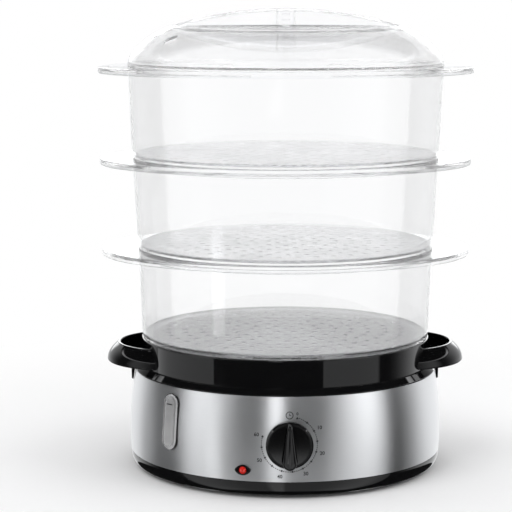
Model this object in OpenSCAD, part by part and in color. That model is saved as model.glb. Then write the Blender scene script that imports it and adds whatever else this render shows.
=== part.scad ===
// Three-tier electric food steamer: a base with a water tank, a heater and a timer,
// a steam ring, a drip tray, three clear bowls stacked on each other and a clear lid.
// Millimetres. Origin on the table under the middle of the base, +Z up,
// and the control knob faces -Y.

/* [Base body] */
// Height of the rubber feet below the pan
foot_h = 2; // [1:0.5:5]
// Radius of one rubber foot
foot_r = 10; // [7:1:12]
// Distance from the base ring's lower edge in to the middle of a foot
foot_inset = 25.5; // [22:0.5:36]
// How far the base ring's round foot is drawn in at its lower edge
pan_round_w = 5.5; // [3:0.5:8]
// How far the base ring's foot stands back from the band's lower edge
pan_step = 0.05; // [0:0.05:0.5]
// Height of the base ring's foot above the table, where the steel band starts
pan_top_z = 14; // [11:0.5:16]
// Thickness of the pan and of the base ring's foot
pan_wall = 2.5; // [2:0.1:3]
// Widest radius of the steel band
band_belly_r = 129.6; // [129:0.1:132]
// Height at which the band is widest
band_belly_z = 30; // [20:1:40]
// How much smaller the steel band's radius is at its top
band_taper = 4.6; // [3:0.1:6]
// Height of the top of the steel band
band_top_z = 80.7; // [78:0.1:84]
// Sheet thickness of the steel band
band_t = 0.7; // [0.5:0.1:1]

/* [Collar and tank] */
// How far the collar stands back from the band's top edge
collar_inset = 5.5; // [4:0.5:7]
// Height of the collar's rim, on which the lowest bowl stands
collar_rim_z = 108; // [106:0.5:114]
// Wall of the collar and of the tank
tank_wall = 2.4; // [2:0.1:3]
// Height of the chamfered lip above the steel band
lip_h = 5.2; // [4:0.1:6]
// Height of the tank floor's upper face
tank_floor_z = 24.5; // [23:0.5:28]
// How far the tank's wall stands in from the band's top edge, at the tank's floor
tank_inset = 18.1; // [17:0.1:22]
// Height of the ledge that carries the drip tray
ledge_z = 101; // [99:0.5:103]
// Width of that ledge
ledge_w = 2.5; // [2:0.1:3.5]
// Inner width of the control bay
bay_w = 66; // [60:1:72]
// Distance from the timer's front to the bay's rear wall
bay_depth = 36.6; // [33:0.1:42]
// Height of the bay's ceiling
bay_top_z = 69.6; // [68:0.1:74]
// Width of the water inlet through the collar behind each handle
inlet_w = 64; // [40:1:70]

/* [Handles] */
// How far a handle's upper rim reaches out from the collar
handle_depth = 20.5; // [14:0.5:23]
// Width of a handle at its upper rim, where it meets the collar
handle_root_w = 88; // [80:1:100]
// How much wider a handle is at the bottom than at its rim
handle_flare = 8.5; // [4:0.5:10]
// Height of a handle's rim above the table
handle_rim_z = 102.8; // [100:0.1:107]
// Height of a handle's underside above the table
handle_low_z = 87.3; // [87:0.1:94]
// How far a handle's flank is rounded out between its rim and its bottom
handle_bulge = 2.2; // [0:0.1:3]
// Wall of a handle
handle_wall = 2.3; // [2:0.1:3]
// Width of the gusset under each handle
gusset_w = 5; // [3:0.5:8]
// Height of the gusset's lower tip, beside the steel band
gusset_low_z = 70; // [66:0.5:76]

/* [Bowls] */
// Height from one bowl's seat to the next
bowl_pitch = 74.4; // [60:0.2:90]
// Wall of the bowls
bowl_wall = 2; // [1.6:0.1:2.4]
// How far the lowest bowl's bottom edge stands back from the collar
bowl_1_step = 0.5; // [0.2:0.1:1.5]
// How much the lowest bowl widens from bottom to top, on its radius
bowl_1_flare = 2.5; // [1:0.1:4]
// How far the middle bowl's bottom stands out over the lowest bowl's wall
bowl_2_step = 0.8; // [0.2:0.1:2]
// How much the middle bowl widens from bottom to top, on its radius
bowl_2_flare = 3.7; // [1:0.1:5]
// How far the upper bowl's bottom stands out over the middle bowl's wall
bowl_3_step = 0.4; // [0.2:0.1:2]
// How much the upper bowl widens from bottom to top, on its radius
bowl_3_flare = 3.1; // [1:0.1:5]
// Reach of the lowest bowl's ears beyond its wall
ear_reach = 30.5; // [20:0.5:35]
// How much further each next bowl's ears reach
ear_step = 1; // [0:0.1:2]
// Width of the lowest bowl's rim at the front and back
rim_1_w = 4.7; // [3:0.1:6]
// Width of the middle bowl's rim at the front and back
rim_2_w = 2.7; // [1.8:0.1:5]
// Width of the upper bowl's rim at the front and back
rim_3_w = 1.1; // [0.8:0.1:4]
// Thickness of the rim plate
rim_t = 2.6; // [2:0.1:3.4]
// Depth of the turned-down lip under the rim's edge
rim_lip = 2.4; // [1:0.1:4]
// Gap between a nest ring and the wall it drops into
nest_gap = 1.6; // [0.8:0.1:3]
// Depth of the nest ring under the middle and the upper bowl
nest_drop = 7; // [4:0.5:9]
// Depth of the nest ring under the lowest bowl
nest_drop_1 = 4; // [3:0.5:4.5]
// Width of the ledge that carries a bowl's perforated floor
floor_ledge_w = 3.5; // [2.5:0.5:6]
// Thickness of a perforated floor
floor_t = 2.2; // [1.6:0.1:3]
// Radius of a steam hole in a floor
floor_hole_r = 2.1; // [1.5:0.1:3]
// Distance between the rings of steam holes
floor_hole_pitch = 14; // [12:1:20]

/* [Lid] */
// How far the lid's skirt stands out over the upper bowl's wall
lid_step = 0.5; // [0.2:0.1:1]
// Height of the vertical part of the skirt
lid_skirt_h = 3; // [2:0.5:5]
// Height of the dish's rim above the upper bowl's rim
lid_rim_h = 31.8; // [28:0.2:36]
// Width of the lid's domed shoulder, from the skirt in to the dish's rim
shoulder_w = 33; // [28:0.5:42]
// Depth of the dish between the finger recesses
dish_depth = 18.5; // [14:0.5:20]
// Height of the grip ridge above the dish's rim
grip_rise = 15.4; // [10:0.2:18]
// Width of the grip ridge in its middle
grip_w = 30; // [24:1:36]
// Wall of the lid
lid_wall = 2; // [1.6:0.1:2.4]
// Depth of the ring that drops into the upper bowl
lid_drop = 5; // [3:0.5:7]
// Length of a steam vent in the lid
vent_len = 11; // [8:0.5:14]
// Width of a steam vent in the lid
vent_w = 5; // [4:0.5:6]

/* [Steam ring and drip tray] */
// Inner radius of the steam ring at its foot
steam_r = 47; // [44:0.5:54]
// Inner radius of the steam ring at its top
steam_top_r = 42; // [38:0.5:46]
// Height of the steam ring
steam_h = 52; // [40:1:58]
// Wall of the steam ring
steam_wall = 2.4; // [2:0.1:3]
// Depth of the drip tray below its rim
tray_depth = 13; // [9:0.5:18]
// Wall of the drip tray
tray_wall = 2; // [1.6:0.1:2.6]
// Outer radius of the tray's steam tower
tower_r = 34; // [28:0.5:40]
// Number of steam slots round the tower
tower_slots = 12; // [6:1:16]

/* [Controls] */
// Height of the knob's axis above the table
knob_z = 44; // [42:0.5:48]
// Radius of the knob
knob_r = 18.5; // [16:0.5:20]
// Thickness of the knob's disc
knob_disc_t = 4.4; // [3:0.1:6]
// Height of the grip on the disc
knob_grip_h = 11.5; // [8:0.5:16]
// Width of the grip at its broad lower end
knob_grip_w = 12.5; // [10:0.5:14]
// Width of the grip at its narrow upper end
knob_tip_w = 6; // [4:0.5:8]
// Gap between the knob's disc and the steel band
knob_gap = 0.6; // [0.4:0.1:1.2]
// Radius of the timer's shaft
shaft_r = 3; // [2.5:0.1:3.5]
// Running clearance of the shaft in its bush
shaft_fit = 0.06; // [0.03:0.01:0.1]
// Side of the timer's square case
timer_side = 44; // [40:1:46]
// Length of the timer's contact springs
contact_len = 20; // [16:0.5:22]
// Depth of the timer's case
timer_depth = 20; // [16:1:22]
// Distance of the timer's front behind the band's face
timer_set_in = 8.25; // [7:0.05:10]
// Radius of the timer's bell
bell_r = 17; // [14:0.5:19]
// Distance of the lamp from the knob's axis, to the left
lamp_x = 36; // [30:0.1:38]
// Height of the lamp above the table
lamp_z = 22.9; // [21:0.1:30]
// Width of the lamp's bezel
lamp_w = 13; // [11:0.5:16]
// Height of the lamp's bezel
lamp_h = 8.2; // [7.4:0.2:10]
// Radius of the lamp's lens
lamp_lens_r = 3; // [2.4:0.1:3.2]

/* [Water gauge] */
// Angle of the gauge from the front, to the left
gauge_angle = 46.5; // [40:0.5:60]
// Width of the gauge window
gauge_w = 15.8; // [13:0.2:18]
// Height of the gauge window
gauge_h = 44.4; // [36:0.2:46]
// Height of the middle of the gauge above the table
gauge_z = 53; // [47:0.5:54]
// How far the window stands out of the band
gauge_proud = 2.2; // [1.5:0.1:3.5]
// Width of the window's flange outside its slot
gauge_flange = 2.1; // [1.5:0.1:3]

/* [Heater] */
// Radius of the hole in the tank floor
heater_hole_r = 34; // [31:0.5:36]
// Width of the heater cup's flange
heater_flange_w = 6.5; // [6:0.5:8]
// Depth of the heater cup below its flange
heater_cup_depth = 7; // [5:0.5:8]
// Radius of the heating element's ring
element_ring_r = 22; // [18:0.5:25]
// Radius of the heating element's tube
element_tube_r = 3.3; // [2.8:0.1:4]
// Sheet thickness of the heater cup
cup_t = 1; // [0.6:0.1:1.4]
// Thickness of the heater seal
seal_t = 1.5; // [1:0.1:2]

/* [Cord outlet] */
// Bore of the cord outlet, for a mains cord
gland_bore_r = 3.6; // [3:0.1:4]
// Radius of the outlet's neck in the band
gland_neck_r = 6; // [5.4:0.1:7]
// Height of the outlet above the table
gland_z = 24; // [20:0.5:30]
// Length of the outlet
gland_len = 23; // [18:0.5:28]
// Distance of the terminal block's middle in from the pan's foot
block_inset = 35.5; // [30:0.5:40]

/* [Hidden] */

$fn = 96;
small_fn = 32;
over = 1;          // how far a cutter runs past the face it cuts
fit_gap = 0.3;     // gap between pieces that are only set in place

// Main radii, from the steel band inwards and upwards
band_top_r = band_belly_r - band_taper;
collar_r = band_top_r - collar_inset;
tank_low_r = band_top_r - tank_inset;
handle_reach = collar_r + handle_depth;
pan_top_r = band_r(pan_top_z) - pan_step;
pan_low_r = pan_top_r - pan_round_w;
timer_front_y = timer_set_in - band_r(knob_z);
bay_back = -timer_front_y - bay_depth;

// Pan
pan_floor_z = foot_h + 1;
foot_place_r = pan_low_r - foot_inset;
pan_inside_z = pan_floor_z + pan_wall;
liner_t = 1.8;
liner_steps = 13;
ring_ledge_w = 4;       // ledge by which the ring stands on the pan
ring_ledge_t = 2;
foot_angles = [45, 135, 225, 315];
screw_angles = [0, 65, 115, 180, 235, 305];
screw_place_r = tank_low_r - 10.9;
screw_r = 1.6;
screw_head_r = 3.2;
screw_head_h = 2;
boss_r = 4.5;
pan_curve_steps = 6;
pan_vent_count = 7;
pan_vent_pitch = 8;
pan_vent_len = 46;
pan_vent_w = 3;
pan_vent_y = 8;

// Collar and tank
tank_under_z = tank_floor_z - pan_wall;
collar_in_r = collar_r - tank_wall;
web_z = band_top_z + 2.7;
tank_taper = 5.3;
tank_top_r = tank_low_r + tank_taper;
band_curl_w = 2.2;
housing_skirt_r = band_top_r - band_t - band_curl_w - 0.1;
lip_top_z = band_top_z + lip_h;
inlet_low_z = handle_low_z + handle_wall + 2;
band_steps = 14;

// Handles: each is a hood turned about an upright axis and cut off by the collar
collar_root_x = sqrt(pow(collar_r, 2) - pow(handle_root_w / 2, 2));
handle_sagitta = handle_reach - collar_root_x;
handle_r = (pow(handle_root_w / 2, 2) + pow(handle_sagitta, 2)) / (2 * handle_sagitta);
handle_axis_x = handle_reach - handle_r;
handle_steps = 6;

// Bowls, each seated on what is below it
bowl_1_low_r = collar_r - bowl_1_step;
bowl_1_top_r = bowl_1_low_r + bowl_1_flare;
bowl_2_low_r = bowl_1_top_r + bowl_2_step;
bowl_2_top_r = bowl_2_low_r + bowl_2_flare;
bowl_3_low_r = bowl_2_top_r + bowl_3_step;
bowl_3_top_r = bowl_3_low_r + bowl_3_flare;
rim_a = bowl_1_top_r + ear_reach;
// Lowest first: [bottom radius, top radius, rim half length, rim half width]
bowls = [
    [bowl_1_low_r, bowl_1_top_r, rim_a, bowl_1_top_r + rim_1_w],
    [bowl_2_low_r, bowl_2_top_r, rim_a + ear_step, bowl_2_top_r + rim_2_w],
    [bowl_3_low_r, bowl_3_top_r, rim_a + 2 * ear_step, bowl_3_top_r + rim_3_w]
];
rim_points = 120;
shoulder_t = 1.8;

// Lid
lid_r = bowl_3_top_r + lid_step;
dish_r = lid_r - shoulder_w;
lid_z = collar_rim_z + 3 * bowl_pitch;
dish_rim_z = lid_z + lid_rim_h;
dish_ball_r = (pow(dish_r, 2) + pow(dish_depth, 2)) / (2 * dish_depth);
grip_half_len = dish_r - 1.5;
grip_arch_half = dish_r + 1;
grip_arch_r = (pow(grip_arch_half, 2) + pow(grip_rise, 2)) / (2 * grip_rise);
grip_lens_r = (pow(grip_half_len, 2) + pow(grip_w / 2, 2)) / grip_w;
lid_shoulder = [-3.5, 17.8];
lid_curve_steps = 14;
vent_slant = 28;
vent_angles = [197, 215];
vent_place_r = dish_r + 15;

// Steam ring and tray
steam_notch_w = 9;
steam_notch_h = 4;
steam_notches = 6;
tray_rim_t = 2;
tray_floor_z = ledge_z - tray_depth;
tower_top_z = ledge_z - 1;
tower_slot_w = 9;
tower_slot_z = tray_floor_z + 3.6;

// Controls, from the steel band inwards
knob_back_y = -(band_belly_r + knob_gap);
knob_face_y = knob_back_y - knob_disc_t;
knob_bore_r = shaft_r + shaft_fit + 0.45;
clip_t = 0.4;
shaft_front_y = knob_face_y - 8;
timer_back_y = timer_front_y + timer_depth;
timer_wall = 1.6;
contact_post = [4, 9, 6];
contact_t = 0.6;
contact_w = 2.4;
contact_gap = 5;
contact_low_z = knob_z - 0.45 * contact_len;
tab_size = [4, 0.8, 5];
tab_y = 8;
timer_cover_t = 1.4;
bush_len = 5;
bush_r = shaft_r + 2;
shaft_back_y = timer_back_y - timer_wall - 1;
cam_r = 14;
cam_t = 3;
cam_y = timer_front_y + 9;
bell_depth = 9;
timer_screw_x = 14;
timer_screw_r = 1.5;

// Lamp
lamp_y = -sqrt(pow(band_r(lamp_z), 2) - pow(lamp_x, 2));
lamp_tilt = atan2(lamp_x, -lamp_y);
lamp_proud = 1.6;
lamp_seat = 0.12;   // the flat bezel stands this far off the round band
lamp_neck_r = 3.9;
lamp_len = 13;

// Gauge
gauge_low_z = gauge_z - gauge_h / 2;
gauge_high_z = gauge_z + gauge_h / 2;
gauge_lean = atan2(band_r(gauge_low_z) - band_r(gauge_high_z), gauge_h);
gauge_neck_gap = 0.3;
gauge_seal_t = 2;
gauge_neck_len = band_r(gauge_z) - tank_out_r(gauge_low_z) - 2;    // ends inside the tank's wall

// Heater
cup_flange_z = tank_floor_z + seal_t;
cup_floor_z = cup_flange_z - heater_cup_depth;
cup_in_r = heater_hole_r - 1.8;
clamp_t = 1.5;
heater_screw_place_r = heater_hole_r + 3.2;
heater_screw_r = 1.4;
heater_screw_angles = [45, 135, 225, 315];
element_z = cup_floor_z + cup_t + 4.4;
element_gap_angle = 60;
element_leg_fit = 0.05;
element_pin_r = 1;
lead_r = 1.3;
lead_z = pan_inside_z + 4;
lead_over_z = lead_z + 2 * lead_r + 0.9;    // where one lead crosses over another
lead_end_z = lead_z - 0.5;
element_pin_z = lead_end_z + lead_r + fit_gap;
block_size = [32, 12, 12];
block_pitch = 9.5;
block_y = pan_low_r - block_inset;
lead_straight = 10;                         // straight run out of the terminal block
lead_sweep = 20;                            // run behind the timer's tabs
lead_bow = 5;                               // how far a lead swings out beside the timer

// ---------------------------------------------------------------- shapes used often

// Outer radius of the steel band at a height
function band_r(z) = band_belly_r - (band_belly_r - band_top_r)
    * pow((z - band_belly_z) / (band_top_z - band_belly_z), 2);

// Outer radius of the tank wall at a height
function tank_out_r(z) = tank_low_r + tank_wall
    + (tank_top_r - tank_low_r) * (z - tank_floor_z) / (web_z - tank_floor_z);

// Height of a bowl's seat, lowest bowl 0
function seat_z(i) = collar_rim_z + i * bowl_pitch;

// Outer radius of the ring that drops from bowl i into what is below it
function nest_r(i) = i == 0 ? collar_in_r - nest_gap : bowls[i - 1][1] - bowl_wall - nest_gap
    - nest_drop * (bowls[i - 1][1] - bowls[i - 1][0]) / bowl_pitch;

// Point of a curve that leaves a towards b and arrives at c
function curve(a, b, c, t) = (1 - t) * (1 - t) * a + 2 * t * (1 - t) * b + t * t * c;

// Upright tube
module tube(outer, inner, low, high) {
    translate([0, 0, low]) difference() {
        cylinder(r = outer, h = high - low);
        translate([0, 0, -over]) cylinder(r = inner, h = high - low + 2 * over);
    }
}

// Flat shape with round ends, upright along Y
module oval(width, height) {
    square([width, height - width], center = true);
    for (s = [-1, 1]) translate([0, s * (height - width) / 2]) circle(d = width, $fn = 48);
}

// Moves a flat shape so that it is drawn on a plane whose outward normal is -Y
module face_front(depth) {
    rotate([90, 0, 0]) linear_extrude(depth) children();
}

// Rod along Y from y0 to y1 at height z
module rod_y(r, y0, y1, x = 0, z = 0, fn = 48) {
    translate([x, y0, z]) rotate([-90, 0, 0]) cylinder(r = r, h = y1 - y0, $fn = fn);
}

// Direction in which a route runs past its point i
function heading(route, i) = let (
        before = route[max(i, 1)] - route[max(i, 1) - 1],
        after = route[min(i + 1, len(route) - 1)] - route[min(i, len(route) - 2)],
        sum = before / norm(before) + after / norm(after))
    sum / norm(sum);

// Insulated lead: an eight-sided tube swept along its route, with mitred knees
module lead(route) {
    sides = 8;
    aside = [0.5, 0.3, 1];      // no lead runs along this direction, so the rings don't twist
    rings = [for (i = [0 : len(route) - 1]) let (t = heading(route, i),
             u = cross(t, aside) / norm(cross(t, aside)), v = cross(t, u))
        for (k = [0 : sides - 1]) route[i] + lead_r * (cos(360 * k / sides) * u + sin(360 * k / sides) * v)];
    last = len(route) - 1;
    polyhedron(rings, concat(
        [[for (k = [sides - 1 : -1 : 0]) k], [for (k = [0 : sides - 1]) last * sides + k]],
        [for (i = [0 : last - 1], k = [0 : sides - 1], half = [0, 1]) let (
                n = (k + 1) % sides, here = i * sides, next = here + sides)
            half == 0 ? [here + k, here + n, next + n] : [here + k, next + n, next + k]]));
}

// Places children at a distance from the middle, once for each angle
module around(place_r, angles) {
    for (a = angles) rotate(a) translate([place_r, 0, 0]) children();
}

// Oval outline of a bowl's rim with half axes a and b
module rim_outline(a, b) {
    polygon([for (i = [0 : rim_points - 1]) let (t = 360 * i / rim_points) [a * cos(t), b * sin(t)]]);
}

// ---------------------------------------------------------------- base body

// Openings for the controls, the gauge and the cord, through the band and the ring's wall behind it
module band_openings() {
    rod_y(shaft_r + 1.5, -band_belly_r - over, -band_top_r + 6, z = knob_z);
    gauge_place() translate([0, 6, 0]) face_front(14)
        oval(gauge_w - 2 * gauge_flange, gauge_h - 2 * gauge_flange);
    lamp_place() rod_y(lamp_neck_r + 0.2, -3, 6);
    rod_y(gland_neck_r + 0.1, band_top_r - 4, band_belly_r + over, z = gland_z);
    for (x = [-timer_screw_x, timer_screw_x])
        rod_y(timer_screw_r + 0.3, -band_belly_r - over, -band_top_r + 6, x = x, z = knob_z);
}

// Floor of the base, held up against the ring by the base screws
module base_pan() {
    color("#161617") difference() {
        translate([0, 0, pan_floor_z]) cylinder(r = pan_low_r - pan_wall - fit_gap, h = pan_wall);
        around(screw_place_r, screw_angles) translate([0, 0, pan_floor_z - over])
            cylinder(r = screw_r + fit_gap, h = pan_wall + 2 * over, $fn = small_fn);
        for (i = [0 : pan_vent_count - 1])
            translate([(i - (pan_vent_count - 1) / 2) * pan_vent_pitch, pan_vent_y, pan_floor_z - over])
                linear_extrude(pan_wall + 2 * over) oval(pan_vent_w, pan_vent_len);
    }
}

// Ring that stands on the pan: its foot shows under the steel band, which is wrapped round its wall
module base_ring() {
    foot_curve = [for (i = [0 : pan_curve_steps]) let (t = 90 * i / pan_curve_steps)
        [pan_low_r + (pan_top_r - pan_low_r) * sin(t), foot_h + (pan_top_z - foot_h) * (1 - cos(t))]];
    liner_top_z = band_top_z - band_t - fit_gap;
    liner = [for (i = [0 : liner_steps]) let (z = pan_top_z + (liner_top_z - pan_top_z) * i / liner_steps)
        [band_r(z) - band_t - fit_gap, z]];
    liner_inside = [for (i = [liner_steps : -1 : 0]) liner[i] - [liner_t, 0]];
    foot_in_r = pan_low_r - pan_wall;
    color("#161617") difference() {
        rotate_extrude() polygon(concat(
            [[foot_in_r, pan_floor_z], [pan_low_r - 2, pan_floor_z], [pan_low_r - 1.5, foot_h]],
            foot_curve, liner, liner_inside,
            [[liner[0].x - liner_t, pan_top_z - 3], [foot_in_r, pan_inside_z + ring_ledge_t],
             [foot_in_r - ring_ledge_w, pan_inside_z + ring_ledge_t], [foot_in_r - ring_ledge_w, pan_inside_z],
             [foot_in_r, pan_inside_z]]));
        band_openings();
    }
}

module rubber_feet() {
    color("#202020") around(foot_place_r, foot_angles) rotate_extrude($fn = 48)
        polygon([[0, 0], [foot_r - 1, 0], [foot_r, 0.8], [foot_r, pan_floor_z], [0, pan_floor_z]]);
}

module steel_band() {
    heights = [for (i = [0 : band_steps]) pan_top_z + (band_top_z - pan_top_z) * i / band_steps];
    outer = [for (z = heights) [band_r(z), z]];
    inner = [for (i = [band_steps - 1 : -1 : 0]) [band_r(heights[i]) - band_t, heights[i]]];
    color("#b9bbbd") difference() {
        rotate_extrude($fn = 128) polygon(concat(outer,
            [[band_top_r - band_t - band_curl_w, band_top_z],
             [band_top_r - band_t - band_curl_w, band_top_z - band_t],
             [band_r(band_top_z - band_t) - band_t, band_top_z - band_t]], inner));
        band_openings();
    }
}

module upper_housing() {
    bay_outer = bay_w + 2 * tank_wall;
    color("#141415") difference() {
        union() {
            rotate_extrude($fn = 128) polygon([
                [0, tank_under_z], [tank_low_r + 0.6, tank_under_z],
                [tank_low_r + tank_wall, tank_floor_z],
                [tank_out_r(band_top_z - 2.7), band_top_z - 2.7],
                [housing_skirt_r, band_top_z - 2.7], [housing_skirt_r, band_top_z],
                [band_top_r - 0.1, band_top_z], [band_top_r + 0.1, band_top_z + 0.7],
                [collar_r + 1.1, lip_top_z], [collar_r + 0.4, lip_top_z],
                [collar_r + 0.4, lip_top_z - 0.5], [collar_r, lip_top_z - 0.5],
                [collar_r, collar_rim_z - 1], [collar_r - 0.5, collar_rim_z],
                [collar_in_r + 0.5, collar_rim_z], [collar_in_r, collar_rim_z - 0.5],
                [collar_in_r, ledge_z], [collar_in_r - ledge_w, ledge_z],
                [collar_in_r - ledge_w, ledge_z - 1.5], [collar_in_r, ledge_z - 3],
                [collar_in_r, web_z], [tank_top_r, web_z],
                [tank_low_r, tank_floor_z + 2], [tank_low_r - 2, tank_floor_z], [0, tank_floor_z]]);
            intersection() {
                translate([-bay_outer / 2, -collar_in_r, tank_under_z])
                    cube([bay_outer, collar_in_r - bay_back + tank_wall,
                          bay_top_z + tank_wall - tank_under_z]);
                cylinder(r = tank_low_r + 1, h = web_z);
            }
            around(screw_place_r, screw_angles)
                tube(boss_r, screw_r + 0.05, pan_inside_z, tank_under_z + pan_wall / 2);
        }
        translate([-bay_w / 2, -band_belly_r, tank_under_z - over])
            cube([bay_w, band_belly_r - bay_back, bay_top_z - tank_under_z + over]);
        translate([0, 0, tank_under_z - over]) cylinder(r = heater_hole_r, h = 2 * pan_wall);
        around(heater_screw_place_r, heater_screw_angles) translate([0, 0, tank_under_z - over])
            cylinder(r = heater_screw_r + 0.2, h = pan_wall + 2 * over, $fn = small_fn);
        for (s = [-1, 1]) translate([s * collar_r - 3 * ledge_w, -inlet_w / 2, inlet_low_z])
            cube([6 * ledge_w, inlet_w, ledge_z + 1.3 - inlet_low_z]);
        gauge_place() translate([0, gauge_neck_len + 9, 0]) face_front(16) gauge_neck_outline();
    }
}

// Hood-shaped handle on the right; it is also the mouth for pouring water in
module handle() {
    low_r = handle_r + handle_flare;
    low = [low_r, handle_low_z + 1.5];
    high = [handle_r, handle_rim_z - 0.7];
    flank = [for (i = [0 : handle_steps]) let (t = i / handle_steps)
        low + t * (high - low) + [4 * t * (1 - t) * handle_bulge, 0]];
    inside = [for (i = [handle_steps : -1 : 1]) flank[i] - [handle_wall, 0]];
    difference() {
        translate([handle_axis_x, 0, 0]) rotate_extrude() polygon(concat(
            [[0, handle_low_z], [low_r - 1.5, handle_low_z]], flank,
            [[handle_r - 0.6, handle_rim_z], [handle_r - handle_wall + 0.4, handle_rim_z]], inside,
            [[low_r - handle_wall - 1, handle_low_z + handle_wall], [0, handle_low_z + handle_wall]]));
        translate([0, 0, handle_low_z - over]) cylinder(r = collar_r, h = 40, $fn = 128);
        translate([-200, -100, handle_low_z - over]) cube([200, 200, 40]);
    }
    translate([0, gusset_w / 2, 0]) rotate([90, 0, 0]) linear_extrude(gusset_w) polygon([
        [collar_r, handle_low_z + 0.5], [collar_r + 9.5, handle_low_z + 0.5],
        [band_r(gusset_low_z) + 1.8, gusset_low_z + 0.6], [band_r(gusset_low_z) + fit_gap, gusset_low_z],
        [band_top_r + 0.5, band_top_z], [band_top_r + 0.6, band_top_z + 2.2], [collar_r + 1.6, lip_top_z + 0.2],
        [collar_r, lip_top_z + 1]]);
}

module right_handle() {
    color("#151516") handle();
}

module left_handle() {
    color("#151516") mirror([1, 0, 0]) handle();
}

module base_screws() {
    color("#8f9194") around(screw_place_r, screw_angles) {
        translate([0, 0, pan_floor_z - screw_head_h / 2])
            cylinder(r = screw_head_r, h = screw_head_h / 2, $fn = small_fn);
        translate([0, 0, pan_floor_z - over / 2])
            cylinder(r = screw_r, h = tank_under_z - pan_floor_z - 2, $fn = small_fn);
    }
}

// ---------------------------------------------------------------- heater

module heater_cup() {
    flange_r = heater_hole_r + heater_flange_w;
    color("#c9c9c7") difference() {
        rotate_extrude() polygon([
            [0, cup_floor_z], [cup_in_r, cup_floor_z], [cup_in_r + cup_t, cup_floor_z + cup_t],
            [cup_in_r + cup_t, cup_flange_z], [flange_r, cup_flange_z],
            [flange_r, cup_flange_z + cup_t], [cup_in_r, cup_flange_z + cup_t],
            [cup_in_r, cup_floor_z + 1.5 * cup_t], [cup_in_r - cup_t, cup_floor_z + cup_t],
            [0, cup_floor_z + cup_t]]);
        element_legs_at() translate([0, 0, cup_floor_z - over])
            cylinder(r = element_tube_r + element_leg_fit, h = 4 * cup_t, $fn = small_fn);
        around(heater_screw_place_r, heater_screw_angles) translate([0, 0, cup_flange_z - over])
            cylinder(r = heater_screw_r + 0.2, h = cup_t + 2 * over, $fn = small_fn);
    }
}

// Places children at the two ends of the heating element
module element_legs_at() {
    for (s = [-1, 1]) rotate(270 + s * element_gap_angle / 2)
        translate([element_ring_r, 0, 0]) children();
}

module heater_element() {
    leg_z = cup_floor_z - 6;
    color("#6f7173") {
        rotate(270 + element_gap_angle / 2) rotate_extrude(angle = 360 - element_gap_angle)
            translate([element_ring_r, element_z]) circle(r = element_tube_r, $fn = small_fn);
        element_legs_at() {
            translate([0, 0, element_z]) sphere(r = element_tube_r, $fn = small_fn);
            translate([0, 0, leg_z]) cylinder(r = element_tube_r, h = element_z - leg_z, $fn = small_fn);
            translate([0, 0, element_pin_z])
                cylinder(r = element_pin_r, h = leg_z - element_pin_z + over, $fn = 20);
        }
    }
}

module heater_seal() {
    color("#b5432f") difference() {
        tube(heater_hole_r + heater_flange_w - 0.5, heater_hole_r, tank_floor_z, cup_flange_z);
        around(heater_screw_place_r, heater_screw_angles) translate([0, 0, tank_floor_z - over])
            cylinder(r = heater_screw_r + 0.2, h = seal_t + 2 * over, $fn = small_fn);
    }
}

module heater_clamp_ring() {
    color("#9fa1a3") difference() {
        tube(heater_hole_r + 10, heater_hole_r - 0.4, tank_under_z - clamp_t, tank_under_z);
        around(heater_screw_place_r, heater_screw_angles) translate([0, 0, tank_under_z - clamp_t - over])
            cylinder(r = heater_screw_r + 0.05, h = clamp_t + 2 * over, $fn = small_fn);
    }
}

module heater_screws() {
    top_z = cup_flange_z + cup_t;
    color("#a8aaac") around(heater_screw_place_r, heater_screw_angles) {
        translate([0, 0, top_z]) cylinder(r = heater_screw_r + 1.3, h = 1.6, $fn = small_fn);
        translate([0, 0, tank_under_z - clamp_t - 2])
            cylinder(r = heater_screw_r, h = top_z - tank_under_z + clamp_t + 2 + 0.5, $fn = small_fn);
    }
}

module dry_boil_thermostat() {
    disc_r = 9;
    color("#d8d2c4") {
        translate([0, 0, cup_floor_z - 7]) cylinder(r = disc_r, h = 7, $fn = 48);
        for (s = [-1, 1]) translate([s * 5 - 2.4, -0.4, cup_floor_z - 13]) cube([4.8, 0.8, 6.5]);
    }
}

module thermal_fuse() {
    fuse_r = 2.2;
    color("#e7e3d6") translate([-9, 20, cup_floor_z - fuse_r]) rotate([0, 90, 0])
        cylinder(r = fuse_r, h = 18, $fn = 24);
}

// ---------------------------------------------------------------- timer and knob

module timer_case() {
    half = timer_side / 2;
    color("#e9e6dd") difference() {
        translate([-half, timer_front_y, knob_z - half])
            cube([timer_side, timer_depth, timer_side]);
        translate([-half + timer_wall, timer_front_y - over, knob_z - half + timer_wall])
            cube([timer_side - 2 * timer_wall, timer_depth - timer_wall + over,
                  timer_side - 2 * timer_wall]);
    }
}

// Steel cover with the bush that guides the shaft
module timer_cover() {
    half = timer_side / 2;
    color("#aeb0b2") difference() {
        union() {
            translate([-half, timer_front_y - timer_cover_t, knob_z - half])
                cube([timer_side, timer_cover_t, timer_side]);
            rod_y(bush_r, timer_front_y - timer_cover_t, timer_front_y + bush_len, z = knob_z);
        }
        rod_y(shaft_r + shaft_fit, timer_front_y - timer_cover_t - over,
              timer_front_y + bush_len + over, z = knob_z);
        for (x = [-timer_screw_x, timer_screw_x])
            rod_y(timer_screw_r + 0.05, timer_front_y - timer_cover_t - over, timer_front_y + over,
                  x = x, z = knob_z);
    }
}

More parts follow.
